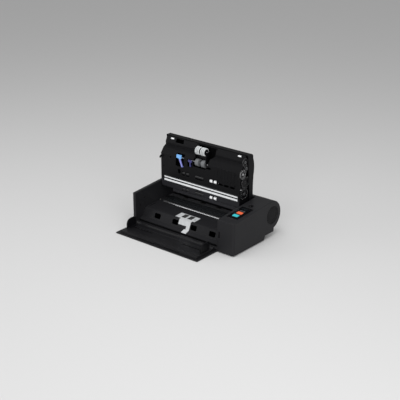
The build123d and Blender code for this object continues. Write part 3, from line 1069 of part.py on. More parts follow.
def document_guides():
    """Two document guides with racks, and the pinion that moves them together."""
    top = TRAY_HEIGHT + GUIDE_HEIGHT
    foot = TRAY_HEIGHT + GUIDE_LIFT
    edges = [Line((-GUIDE_REAR, foot), (-GUIDE_REAR, top - 4)),
             ThreePointArc((-GUIDE_REAR, top - 4), (-GUIDE_REAR - 1.2, top - 1.2), (-GUIDE_REAR - 4, top)),
             Line((-GUIDE_REAR - 4, top), (-GUIDE_FRONT + 18, top)),
             ThreePointArc((-GUIDE_FRONT + 18, top), (-GUIDE_FRONT + 5.4, top - 5.4),
                           (-GUIDE_FRONT, top - 18)),
             Line((-GUIDE_FRONT, top - 18), (-GUIDE_FRONT, foot)),
             Line((-GUIDE_FRONT, foot), (-GUIDE_REAR, foot))]
    section = make_face(edges)
    pitch = math.pi * GEAR_MODULE
    for side, name in ((-1, "guide_left"), (1, "guide_right")):
        inner = CHANNEL_X + side * GUIDE_OFFSET
        outer = inner + side * GUIDE_THICK
        guide = prism(section, min(inner, outer), max(inner, outer))
        guide += block(min(inner, inner - side * GUIDE_LEDGE), max(inner, inner - side * GUIDE_LEDGE),
                       -GUIDE_FRONT + 6, -GUIDE_REAR - 2, foot, foot + 1.2)
        pocket = offset(section, amount=-3.5, kind=Kind.INTERSECTION)
        guide -= prism(pocket, min(outer, outer - side * 1.6), max(outer, outer - side * 1.6))
        stem = [inner + side * reach for reach in GUIDE_STEM]
        guide += block(min(stem), max(stem), GUIDE_RUN_Y - 2.0, GUIDE_RUN_Y + 2.0, RACK_LOW, foot + 0.6)
        line_y = GUIDE_RUN_Y + side * PINION_RADIUS
        count = int((GUIDE_TRAVEL + RACK_SPARE) / pitch)
        points = []
        for index in range(count):
            x = CHANNEL_X + side * (index - RACK_START) * pitch
            for share, rise in TOOTH:
                points.append((x + side * share * pitch, line_y - side * rise))
        back_y = line_y + side * RACK_BACK
        points += [(points[-1][0], back_y), (points[0][0], back_y)]
        rack = extrude(Plane.XY.offset(RACK_LOW) * make_face(Polyline(*points, close=True)),
                       amount=RACK_HIGH - RACK_LOW)
        end_x = stem[1]
        start_x = CHANNEL_X + side * (count - RACK_START - 1.5) * pitch
        rack += block(min(start_x, end_x), max(start_x, end_x), min(line_y + side * 1.2, back_y),
                      max(line_y + side * 1.2, back_y), RACK_LOW, RACK_HIGH)
        rack += block(min(stem), max(stem),
                      min(back_y, GUIDE_RUN_Y), max(back_y, GUIDE_RUN_Y), RACK_LOW, RACK_HIGH)
        node(name, guide + rack)
    teeth = int(round(2 * PINION_RADIUS / GEAR_MODULE))
    section = gear_section(CHANNEL_X, GUIDE_RUN_Y, teeth, math.pi / 2 + math.pi / teeth)
    pinion = extrude(Plane.XY.offset(RACK_LOW) * section, amount=RACK_HIGH - RACK_LOW)
    pinion -= Pos(CHANNEL_X, GUIDE_RUN_Y, RACK_LOW) * Cylinder(PINION_STUD + RUN_FIT, 20)
    node("guide_pinion", pinion)


def build():
    """Make every piece, then write each node moved to the frame of the open machine."""
    left_side()
    right_side()
    side_frames()
    port_bay()
    rear_cover()
    base_pan()
    lower_bed()
    scan_bars()
    separation_cover()
    lower_rollers()
    drive()
    control_panel()
    top_cover()
    inner_guide()
    idlers()
    gear_train()
    end_frames()
    feed_rollers()
    levers()
    hinge_pins()
    feed_tray()
    document_guides()
    os.makedirs("parts", exist_ok=True)
    for name, solids in NODES.items():
        placed = [Pos(0, FRAME_SHIFT, 0) * solid for shape in solids for solid in shape.solids()]
        shape = placed[0] if len(placed) == 1 else Compound(children=placed)
        export_step(shape, f"parts/{name}.step")


build()
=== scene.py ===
"""Looks of a sheet-fed document scanner, shown with its upper unit swung open and its tray down.

The machine's black moulded covers, paper guides, rollers, gears and keys are dressed here, and
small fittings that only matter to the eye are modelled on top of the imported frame. Lengths are in
metres unless a name says otherwise. X runs to the control housing, Y to the round back, Z up.
"""

from __future__ import annotations

import logging
import math
from dataclasses import dataclass, field
from enum import Enum
from typing import Any, Callable, ClassVar

import bmesh
import bpy
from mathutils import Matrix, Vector

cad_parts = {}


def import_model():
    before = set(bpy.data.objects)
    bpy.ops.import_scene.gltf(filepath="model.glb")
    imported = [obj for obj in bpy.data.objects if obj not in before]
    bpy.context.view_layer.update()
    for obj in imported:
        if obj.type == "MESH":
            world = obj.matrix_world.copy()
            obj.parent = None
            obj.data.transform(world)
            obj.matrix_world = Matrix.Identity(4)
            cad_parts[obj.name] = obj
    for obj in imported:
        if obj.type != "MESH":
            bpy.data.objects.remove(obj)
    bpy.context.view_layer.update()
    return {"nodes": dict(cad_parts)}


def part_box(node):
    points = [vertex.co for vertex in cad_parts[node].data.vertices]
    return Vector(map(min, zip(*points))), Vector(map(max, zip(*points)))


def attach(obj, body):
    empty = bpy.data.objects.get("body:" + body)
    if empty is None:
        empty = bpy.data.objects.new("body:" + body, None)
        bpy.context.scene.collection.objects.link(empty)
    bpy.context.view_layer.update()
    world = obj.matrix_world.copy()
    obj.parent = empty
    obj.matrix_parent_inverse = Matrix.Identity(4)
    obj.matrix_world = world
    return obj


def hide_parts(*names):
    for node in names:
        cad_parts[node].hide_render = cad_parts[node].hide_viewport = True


log = logging.getLogger("scanner")
MM = 0.001
WELD = 0.002 * MM                 # points nearer than this become one
SAME_PLACE = 0.01 * MM            # slack when a place is compared with another
FACING = 0.9                      # least part of a normal along the way that its face looks
SMOOTH_UP_TO = math.radians(32.0)

# sockets of a Mix node, by number, because their names repeat
FACTOR, FLOAT_A, FLOAT_B, COLOUR_A, COLOUR_B = 0, 2, 3, 6, 7
COLOUR_RESULT = 2

Place = tuple[float, float, float]


def hex_to_linear(code: str) -> tuple[float, float, float, float]:
    """Turn an sRGB hex colour into linear light.

    Args:
        code: Six hex digits, with or without a leading hash.

    Returns:
        Red, green, blue and an alpha of one.
    """
    digits = code.lstrip("#")
    channels = [int(digits[i:i + 2], 16) / 255 for i in (0, 2, 4)]
    linear = [c / 12.92 if c <= 0.04045 else ((c + 0.055) / 1.055) ** 2.4 for c in channels]
    return (linear[0], linear[1], linear[2], 1.0)


def add_node(tree: bpy.types.NodeTree, kind: str, settings: dict | None = None,
             links: dict | None = None) -> bpy.types.Node:
    """Add a node with its settings and links.

    Args:
        tree: The material's node tree.
        kind: Blender's name of the node type.
        settings: Values by input name, or by the node's own setting.
        links: Output sockets by the name of the input they feed.

    Returns:
        The new node.
    """
    node = tree.nodes.new(kind)
    for name, value in (settings or {}).items():
        if isinstance(name, int) or name in node.inputs:
            node.inputs[name].default_value = value
        else:
            setattr(node, name, value)
    for name, socket in (links or {}).items():
        tree.links.new(socket, node.inputs[name])
    return node


def start_material(name: str) -> tuple[bpy.types.Material, bpy.types.NodeTree]:
    """Make an empty node material.

    Args:
        name: Its name.

    Returns:
        The material and its node tree.
    """
    material = bpy.data.materials.new(name)
    material.use_nodes = True
    material.node_tree.nodes.clear()
    return material, material.node_tree


def end_material(tree: bpy.types.NodeTree, shader: bpy.types.Node) -> None:
    """Join a shader to the material's surface."""
    add_node(tree, "ShaderNodeOutputMaterial", links={"Surface": shader.outputs[0]})


@dataclass(frozen=True)
class MouldedPlastic:
    """Injection moulded ABS or POM over a spark-eroded grain.

    To the eye it is an even colour that wanders a little, dull on its faces, with corners painted
    a shade lighter as a highlight, which handling has also rubbed smoother.
    """

    name: str
    colour: str
    shade: str
    roughness: float
    specular: float = 0.5
    # colour painted along rounded edges as a highlight
    painted_edge_highlight: str | None = None
    edge_mm: float = 0.6
    grain_mm: float = 2.4         # real grain is 0.1 mm; drawn this coarse so that it shows at all
    grain_depth_mm: float = 0.05
    drift_mm: float = 45.0

    edge_normals: ClassVar[tuple[float, float]] = (0.97, 0.80)    # rounding at which the painted edge highlight and the polish start and are full
    gloss_spread: ClassVar[float] = 0.06
    wear_polish: ClassVar[float] = 0.14
    least_roughness: ClassVar[float] = 0.1
    grain_strength: ClassVar[float] = 0.35
    bevel_samples: ClassVar[int] = 4

    def tone(self, tree: bpy.types.NodeTree, place: bpy.types.NodeSocket) -> bpy.types.NodeSocket:
        """Colour of the faces, before the painted edge highlight is mixed in.

        Args:
            tree: The material's node tree.
            place: Object coordinates.

        Returns:
            The colour's socket.
        """
        drift = add_node(tree, "ShaderNodeTexNoise", {"Scale": 1 / (self.drift_mm * MM), "Detail": 3.0},
                         {"Vector": place})
        tint = add_node(tree, "ShaderNodeMix",
                        {"data_type": "RGBA", COLOUR_A: hex_to_linear(self.colour),
                         COLOUR_B: hex_to_linear(self.shade)},
                        {FACTOR: drift.outputs["Fac"]})
        return tint.outputs[COLOUR_RESULT]

    def build(self) -> bpy.types.Material:
        """Make the material.

        Returns:
            The finished material.
        """
        material, tree = start_material(self.name)
        place = add_node(tree, "ShaderNodeTexCoord").outputs["Object"]
        grain = add_node(tree, "ShaderNodeTexNoise", {"Scale": 1 / (self.grain_mm * MM), "Detail": 2.0},
                         {"Vector": place})
        rounded = add_node(tree, "ShaderNodeBevel", {"samples": self.bevel_samples,
                                                      "Radius": self.edge_mm * MM})
        facing = add_node(tree, "ShaderNodeNewGeometry").outputs["Normal"]
        turn = add_node(tree, "ShaderNodeVectorMath", {"operation": "DOT_PRODUCT"},
                        {0: rounded.outputs[0], 1: facing})
        # mask of rounded edges, for the painted highlight and for the polish
        edge_mask_start, edge_mask_full = self.edge_normals
        edge_highlight_and_polish_mask = add_node(tree, "ShaderNodeMapRange", {"From Min": edge_mask_start, "From Max": edge_mask_full},
                        {"Value": turn.outputs["Value"]})
        tone = self.tone(tree, place)
        # mix in the painted edge highlight
        if self.painted_edge_highlight:
            edge_highlight_mix = add_node(tree, "ShaderNodeMix", {"data_type": "RGBA", COLOUR_B: hex_to_linear(self.painted_edge_highlight)},
                           {FACTOR: edge_highlight_and_polish_mask.outputs[0], COLOUR_A: tone})
            tone = edge_highlight_mix.outputs[COLOUR_RESULT]
        gloss = add_node(tree, "ShaderNodeMapRange", {"To Min": self.roughness - self.gloss_spread,
                                                      "To Max": self.roughness + self.gloss_spread},
                         {"Value": grain.outputs["Fac"]})
        rubbed = max(self.roughness - self.wear_polish, self.least_roughness)
        polish = add_node(tree, "ShaderNodeMix", {"data_type": "FLOAT", FLOAT_B: rubbed},
                          {FACTOR: edge_highlight_and_polish_mask.outputs[0], FLOAT_A: gloss.outputs[0]})
        bump = add_node(tree, "ShaderNodeBump",
                        {"Strength": self.grain_strength, "Distance": self.grain_depth_mm * MM},
                        {"Height": grain.outputs["Fac"], "Normal": rounded.outputs[0]})
        shader = add_node(tree, "ShaderNodeBsdfPrincipled",
                          {"IOR": 1.5, "Specular IOR Level": self.specular},
                          {"Base Color": tone, "Roughness": polish.outputs[0],
                           "Normal": bump.outputs[0]})
        end_material(tree, shader)
        return material


@dataclass(frozen=True)
class TwoTonePlastic(MouldedPlastic):
    """Moulded plastic whose colour changes at a place along one axis; on the inner guide and the bed that
    change is painted light.
    """

    axis: int = 2
    border: float = 0.0           # where the second colour begins
    fade: float = 0.001
    second: str = "#ffffff"

    def tone(self, tree: bpy.types.NodeTree, place: bpy.types.NodeSocket) -> bpy.types.NodeSocket:
        """Colour that turns into the second one past the border.

        Args:
            tree: The material's node tree.
            place: Object coordinates.

        Returns:
            The colour's socket.
        """
        first = super().tone(tree, place)
        split = add_node(tree, "ShaderNodeSeparateXYZ", {}, {"Vector": place})
        past = add_node(tree, "ShaderNodeMapRange", {"From Min": self.border - self.fade,
                                                     "From Max": self.border + self.fade},
                        {"Value": split.outputs[self.axis]})
        both = add_node(tree, "ShaderNodeMix", {"data_type": "RGBA", COLOUR_B: hex_to_linear(self.second)},
                        {FACTOR: past.outputs[0], COLOUR_A: first})
        return both.outputs[COLOUR_RESULT]


@dataclass(frozen=True)
class RollerRubber:
    """Ground rubber of a feed roller: dull, with fine dust in its pores."""

    name: str
    colour: str
    dust: str
    roughness: float = 0.75
    pore_mm: float = 1.4          # real pores are 0.2 mm; drawn coarser so that they show
    pore_depth_mm: float = 0.08
    pore_strength: float = 0.4

    def build(self) -> bpy.types.Material:
        """Make the material.

        Returns:
            The finished material.
        """
        material, tree = start_material(self.name)
        place = add_node(tree, "ShaderNodeTexCoord").outputs["Object"]
        pores = add_node(tree, "ShaderNodeTexNoise", {"Scale": 1 / (self.pore_mm * MM), "Detail": 4.0},
                         {"Vector": place})
        spots = add_node(tree, "ShaderNodeMapRange", {"From Min": 0.45, "From Max": 0.7},
                         {"Value": pores.outputs["Fac"]})
        tint = add_node(tree, "ShaderNodeMix",
                        {"data_type": "RGBA", COLOUR_A: hex_to_linear(self.colour),
                         COLOUR_B: hex_to_linear(self.dust)},
                        {FACTOR: spots.outputs[0]})
        bump = add_node(tree, "ShaderNodeBump",
                        {"Strength": self.pore_strength, "Distance": self.pore_depth_mm * MM},
                        {"Height": pores.outputs["Fac"]})
        shader = add_node(tree, "ShaderNodeBsdfPrincipled", {"Roughness": self.roughness, "IOR": 1.52},
                          {"Base Color": tint.outputs[COLOUR_RESULT], "Normal": bump.outputs[0]})
        end_material(tree, shader)
        return material


@dataclass(frozen=True)
class TurnedSteel:
    """Ground steel shaft or roller: bright, with fine rings round its axis along X."""

    name: str
    colour: str
    roughness: float = 0.28
    ring_mm: float = 1.5          # real turning marks are 0.1 mm apart; drawn coarser so that they show
    ring_depth_mm: float = 0.02
    ring_strength: float = 0.15
    round_scale: float = 0.06     # the pattern runs this much slower round the axis than along it

    def build(self) -> bpy.types.Material:
        """Make the material.

        Returns:
            The finished material.
        """
        material, tree = start_material(self.name)
        place = add_node(tree, "ShaderNodeTexCoord").outputs["Object"]
        stretch = add_node(tree, "ShaderNodeMapping",
                           {"Scale": (1.0, self.round_scale, self.round_scale)}, {"Vector": place})
        rings = add_node(tree, "ShaderNodeTexNoise", {"Scale": 1 / (self.ring_mm * MM), "Detail": 3.0},
                         {"Vector": stretch.outputs[0]})
        gloss = add_node(tree, "ShaderNodeMapRange", {"To Min": self.roughness - 0.08,
                                                      "To Max": self.roughness + 0.1},
                         {"Value": rings.outputs["Fac"]})
        bump = add_node(tree, "ShaderNodeBump",
                        {"Strength": self.ring_strength, "Distance": self.ring_depth_mm * MM},
                        {"Height": rings.outputs["Fac"]})
        shader = add_node(tree, "ShaderNodeBsdfPrincipled",
                          {"Metallic": 1.0, "Base Color": hex_to_linear(self.colour)},
                          {"Roughness": gloss.outputs[0], "Normal": bump.outputs[0]})
        end_material(tree, shader)
        return material


@dataclass(frozen=True)
class FloatGlass:
    """Polished plate glass over a dark chamber: nearly black, with sharp reflections."""

    name: str
    colour: str
    roughness: float = 0.06
    streak_mm: float = 18.0       # smears that a cloth leaves

    def build(self) -> bpy.types.Material:
        """Make the material.

        Returns:
            The finished material.
        """
        material, tree = start_material(self.name)
        place = add_node(tree, "ShaderNodeTexCoord").outputs["Object"]
        streak = add_node(tree, "ShaderNodeTexNoise", {"Scale": 1 / (self.streak_mm * MM), "Detail": 2.0},
                          {"Vector": place})
        gloss = add_node(tree, "ShaderNodeMapRange", {"To Min": self.roughness - 0.02,
                                                      "To Max": self.roughness + 0.05},
                         {"Value": streak.outputs["Fac"]})
        shader = add_node(tree, "ShaderNodeBsdfPrincipled",
                          {"Base Color": hex_to_linear(self.colour), "IOR": 1.52},
                          {"Roughness": gloss.outputs[0]})
        end_material(tree, shader)
        return material


class Finish(Enum):
    """Every finish on the machine, by the piece that it is made for."""

    # Moulded ABS covers over a spark-eroded grain: near black and dull, with a soft sheen where
    # they face a lamp and corners painted a shade lighter as a highlight.
    COVER = MouldedPlastic("moulded_abs_cover", "#232325", "#1f1f21", 0.48, 0.14, painted_edge_highlight="#2e2e30")
    LID = MouldedPlastic("moulded_abs_lid", "#0c0c0e", "#0a0a0c", 0.48, 0.12, painted_edge_highlight="#242426")
    # Moulded ABS paper guides: blacker and smoother than the covers, because sheets slide on them.
    GUIDE = MouldedPlastic("moulded_abs_guide", "#0e0e10", "#0a0a0c", 0.42, 0.12, painted_edge_highlight="#232325")
    # the inner guide is painted lighter below z = 134 mm, as painted light on its shaded lower part
    INNER_GUIDE = TwoTonePlastic("moulded_abs_inner_guide_painted_light_low", "#29292c", "#222225", 0.42, 0.12,
                                 painted_edge_highlight="#343437", axis=2, border=0.134, fade=0.003, second="#0d0d0f")
    # the throat guide's pale grey is painted light in the shade under the open unit
    THROAT = MouldedPlastic("moulded_abs_throat_painted_light", "#46464a", "#3d3d41", 0.46, 0.2)
    # the bed is painted lighter behind y = 90 mm, as painted light in the shade under the open unit
    BED = TwoTonePlastic("moulded_abs_bed_painted_light_rear", "#222224", "#1c1c1e", 0.40, 0.12, painted_edge_highlight="#343436", axis=1,
                         border=0.090, fade=0.003, second="#454548")
    # Moulded ABS tray: as black, but polished by paper, so it catches a broad grey sheen,
    # with edges painted lighter as highlights.
    TRAY = MouldedPlastic("moulded_abs_tray", "#161618", "#121214", 0.40, 0.22, painted_edge_highlight="#3c3c3f")
    # Moulded polycarbonate plates: even and stiff, with hardly any wear, darkest inside the unit.
    WALL = MouldedPlastic("moulded_pc_wall", "#202022", "#1b1b1d", 0.45, 0.15)
    FRAME = MouldedPlastic("moulded_pc_frame", "#0a0a0c", "#08080a", 0.45, 0.15, painted_edge_highlight="#1c1c1e")
    # the chamber's near black is painted shade for the recess round the pickup rollers
    CHAMBER = MouldedPlastic("moulded_pc_chamber_painted_shade", "#040405", "#030304", 0.70, 0.1)
    SCAN_BAR = MouldedPlastic("moulded_pc_scan_bar", "#101113", "#0d0e10", 0.35)
    # Polished ABS of the control strip: almost no grain, so lamps draw soft highlights on it.
    PANEL = MouldedPlastic("polished_abs_panel", "#0c0c0e", "#09090b", 0.20, 0.4, grain_depth_mm=0.01)
    # Keys moulded in coloured ABS: clear even colour with pale rims painted as highlights.
    KEY_CYAN = MouldedPlastic("moulded_abs_key_cyan", "#3fc2c9", "#38b4bc", 0.36, painted_edge_highlight="#8adfe2",
                              drift_mm=12.0)
    KEY_ORANGE = MouldedPlastic("moulded_abs_key_orange", "#ee6f48", "#e4653f", 0.36, painted_edge_highlight="#f6a68a",
                                drift_mm=12.0)
    KEY_GREY = MouldedPlastic("moulded_abs_key_grey", "#4a4b4f", "#434448", 0.40, painted_edge_highlight="#6a6b6f")
    # Float glass over dark chambers: nearly black, with sharp but faintly smeared reflections.
    DISPLAY = FloatGlass("float_glass_display", "#0c1013", 0.10)
    # the scan window is tinted dark grey rather than near black, as painted light and reflection
    SCAN_GLASS = FloatGlass("float_glass_scan_window_painted_light", "#222426", 0.09)
    # Moulded POM, white: waxy and slightly cool; the separation cover is painted greyer as shade.
    WHITE = MouldedPlastic("moulded_pom_white", "#f0f2f3", "#e6e8ea", 0.42, drift_mm=20.0)
    SEPARATION = MouldedPlastic("moulded_pom_separation_painted_shade", "#c9cbcc", "#b2b4b6", 0.44, drift_mm=14.0)
    IDLER = TwoTonePlastic("moulded_pom_idler", "#1c1c1e", "#161618", 0.36, drift_mm=20.0, axis=0,
                           border=0.012, second="#f2f3f4")
    LATCH = MouldedPlastic("moulded_pom_latch_pad", "#f2f3f4", "#e6e8ea", 0.30)
    BUSH = MouldedPlastic("moulded_pom_bush", "#cfcbc0", "#c4c0b4", 0.45)
    # Moulded POM, coloured: soft sheen, and the blue lever's arm turns violet below its grip.
    LEVER_BLUE = TwoTonePlastic("moulded_pom_lever_blue", "#8f93dd", "#8286d2", 0.36, painted_edge_highlight="#a9c8f2",
                                drift_mm=15.0, axis=2, border=0.2155, second="#77b4f2")
    LEVER_VIOLET = MouldedPlastic("moulded_pom_lever_violet", "#3e3e76", "#36366a", 0.38,
                                  painted_edge_highlight="#6e6eb0", drift_mm=15.0)
    # Moulded POM gears: black and slippery, with pale tooth edges painted as glints.
    GEAR_DARK = MouldedPlastic("moulded_pom_gear", "#08080a", "#060608", 0.34, 0.12, painted_edge_highlight="#8c8c8e",
                               edge_mm=0.5)
    # the feed gear's broad pale tooth edges are a painted glint
    GEAR_PAINTED_GLINT = MouldedPlastic("moulded_pom_gear_painted_glint", "#0a0a0c", "#08080a", 0.30, 0.2,
                               painted_edge_highlight="#d4d4d6", edge_mm=0.9)
    # Ground rubber: quite dull, pale on the pickup rollers and darker on the feed rollers.
    PICKUP_RUBBER = RollerRubber("ground_rubber_pickup", "#bfc2c3", "#cfd2d3")
    FEED_RUBBER = RollerRubber("ground_rubber_feed", "#66686a", "#757779")
    DARK_RUBBER = RollerRubber("moulded_rubber_black", "#1f1f1f", "#2b2b2a")
    # Steel: bright where it is ground or sprung, grey where phosphated, black where oxidised.
    STEEL = TurnedSteel("ground_steel_shaft", "#d6d7d9")
    SPRING_STEEL = TurnedSteel("drawn_spring_steel", "#c9cacc", 0.22)
    DARK_STEEL = TurnedSteel("phosphated_steel_clip", "#77787a", 0.40)
    BLACK_STEEL = TurnedSteel("black_oxide_steel_screw", "#1e1e20", 0.46)
    # Solder mask on glass-fibre board: deep green and glossy.
    BOARD = MouldedPlastic("solder_mask_board", "#1d5a34", "#174b2b", 0.30)


class Wardrobe:
    """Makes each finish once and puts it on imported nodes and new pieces."""

    def __init__(self) -> None:
        """Start with no material made."""
        self.made: dict[str, bpy.types.Material] = {}

    def get(self, finish: Finish) -> bpy.types.Material:
        """Return a finish's material, made at its first use.

        Args:
            finish: The finish.

        Returns:
            Its material.
        """
        if finish.name not in self.made:
            self.made[finish.name] = finish.value.build()
        return self.made[finish.name]

    def dress(self, piece: bpy.types.Object, finish: Finish) -> None:
        """Give a piece one finish all over.

        Args:
            piece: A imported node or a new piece.
            finish: Its finish.
        """
        material = self.get(finish)
        if not piece.material_slots:
            piece.data.materials.append(material)
        for slot in piece.material_slots:
            slot.material = material
        log.info("dressed %s in %s", piece.name, material.name)


def select_in_mesh(piece: bpy.types.Object, kind: str, wanted: Callable[[Any], bool]) -> None:
    """Select the faces or vertices of the mesh being edited that a test picks.

    Args:
        piece: The piece in edit mode.
        kind: "faces" or "verts".
        wanted: Test of one element.
    """
    bpy.ops.mesh.select_mode(type="FACE" if kind == "faces" else "VERT")
    bpy.ops.mesh.select_all(action="DESELECT")
    mesh = bmesh.from_edit_mesh(piece.data)
    for element in getattr(mesh, kind):
        element.select = wanted(element)
    mesh.select_flush_mode()
    bmesh.update_edit_mesh(piece.data)


def settle(piece: bpy.types.Object, name: str) -> bpy.types.Object:
    """Weld and turn out a new piece's mesh, and leave its object at the origin.

    Args:
        piece: The piece, in edit mode.
        name: Its final name.

    Returns:
        The piece, in object mode.
    """
    bpy.ops.mesh.select_all(action="SELECT")
    bpy.ops.mesh.remove_doubles(threshold=WELD)
    bpy.ops.mesh.normals_make_consistent(inside=False)
    bpy.ops.object.mode_set(mode="OBJECT")
    bpy.ops.object.transform_apply(location=True, rotation=True, scale=True)
    bpy.ops.object.shade_smooth_by_angle(angle=SMOOTH_UP_TO)
    piece.name = name
    piece.data.name = name
    return piece


def start_box(low: Place, high: Place, rim: float, depth: float) -> bpy.types.Object:
    """Add a box whose front is a frame round a recess, and leave it in edit mode.

    Args:
        low: Its lowest corner.
        high: Its highest corner.
        rim: Width of the frame.
        depth: How far the recess goes back.

    Returns:
        The box.
    """
    bpy.ops.object.select_all(action="DESELECT")
    bpy.ops.mesh.primitive_cube_add(size=1.0, location=[(a + b) / 2 for a, b in zip(low, high)],
                                    scale=[b - a for a, b in zip(low, high)])
    piece = bpy.context.object
    bpy.ops.object.transform_apply(location=True, rotation=True, scale=True)
    bpy.ops.object.mode_set(mode="EDIT")
    select_in_mesh(piece, "faces", lambda face: face.normal.y < -FACING)
    bpy.ops.mesh.inset(thickness=rim)
    bpy.ops.mesh.extrude_region_move(TRANSFORM_OT_translate={"value": (0.0, depth, 0.0)})
    return piece


@dataclass(frozen=True)
class TurnedForm:
    """A turned form, drawn as steps of place along its axis and radius, in millimetres.

    A capped form is solid from end to end. An open one is a ring, whose last step joins its first.
    """

    steps: tuple[tuple[float, float], ...]
    capped: bool = True
    sides: int = 48
    ribs: int = 0
    rib_share: float = 0.93       # radius between the ribs, as a share of the radius on them

    def make(self, name: str, middle: Place, axis: Place = (1.0, 0.0, 0.0)) -> bpy.types.Object:
        """Extrude and scale a circle from step to step.

        Args:
            name: The piece's name.
            middle: Point that the steps count from, in metres.
            axis: Direction that the steps run in, of length one.

        Returns:
            The new piece.
        """
        along, radius = self.steps[0]
        way = Vector(axis)
        centre = Vector(middle) + way * along * MM
        bpy.ops.object.select_all(action="DESELECT")
        bpy.ops.mesh.primitive_circle_add(vertices=self.sides, radius=radius * MM, location=centre,
                                          fill_type="NGON" if self.capped else "NOTHING",
                                          rotation=way.to_track_quat("Z", "Y").to_euler())
        piece = bpy.context.object
        bpy.ops.object.mode_set(mode="EDIT")
        bpy.ops.mesh.select_mode(type="VERT")
        if self.ribs:
            flank = self.sides // (2 * self.ribs)
            select_in_mesh(piece, "verts", lambda vertex: (vertex.index // flank) % 2 == 1)
            bpy.ops.transform.resize(value=(self.rib_share,) * 3, center_override=centre)
        bpy.ops.mesh.select_all(action="SELECT")
        closing = () if self.capped else (self.steps[0],)
        for next_along, next_radius in (*self.steps[1:], *closing):
            reach = way * (next_along - along) * MM
            bpy.ops.mesh.extrude_region_move(TRANSFORM_OT_translate={"value": reach})
            bpy.ops.transform.resize(value=(next_radius / radius,) * 3,
                                     center_override=Vector(middle) + way * next_along * MM)
            along, radius = next_along, next_radius
        return settle(piece, name)


def repeat(piece: bpy.types.Object, name: str, shift: Place) -> bpy.types.Object:
    """Copy a finished piece, with its own mesh, to another place.

    Args:
        piece: The piece to copy.
        name: The copy's name.
        shift: How far the copy stands from it, in metres.

    Returns:
        The copy.
    """
    bpy.ops.object.select_all(action="DESELECT")
    piece.select_set(True)
    bpy.context.view_layer.objects.active = piece
    bpy.ops.object.duplicate(linked=False)
    twin = bpy.context.object
    twin.location = shift
    bpy.ops.object.transform_apply(location=True, rotation=True, scale=True)
    twin.name = name
    twin.data.name = name
    return twin


# head of an M3 screw with its drive let in
SCREW = TurnedForm(((0.0, 2.3), (0.5, 2.6), (1.0, 2.4), (1.4, 1.7), (1.5, 1.1), (0.9, 0.9)), sides=24)


@dataclass
class SubAssembly:
    """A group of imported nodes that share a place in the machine."""

    nodes: dict[str, bpy.types.Object]
    wardrobe: Wardrobe
    finishes: dict[str, Finish] = field(default_factory=dict)

    def dress_nodes(self) -> None:
        """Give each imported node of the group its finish."""
        for name, finish in self.finishes.items():
            self.wardrobe.dress(self.nodes[name], finish)

    def add(self, piece: bpy.types.Object, body: str, slot: str, finish: Finish) -> None:
        """Dress a new piece and make it move with a body.

        Args:
            piece: The new piece.
            body: Name of the body that carries it.
            slot: The record's material slot that it belongs to; not used.
            finish: Its finish.
        """
        self.wardrobe.dress(piece, finish)
        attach(piece, body)

    def spread(self, form: TurnedForm, axis: Place, places: dict[str, Place], body: str, slot: str,
               finish: Finish) -> None:
        """Make a turned form once and set copies of it at the other places.

        Args:
            form: The form.
            axis: Direction that its steps run in.
            places: Where each piece stands, by its name.
            body: Name of the body that carries them.
            slot: The record's material slot that they belong to.
            finish: Their finish.
        """
        first_name, first_place = next(iter(places.items()))
        first = form.make(first_name, first_place, axis)
        for name, place in places.items():
            shift = tuple(b - a for a, b in zip(first_place, place))
            piece = first if name == first_name else repeat(first, name, shift)
            self.add(piece, body, slot, finish)

    def build(self) -> None:
        """Make the pieces that only this script adds; most groups have none."""


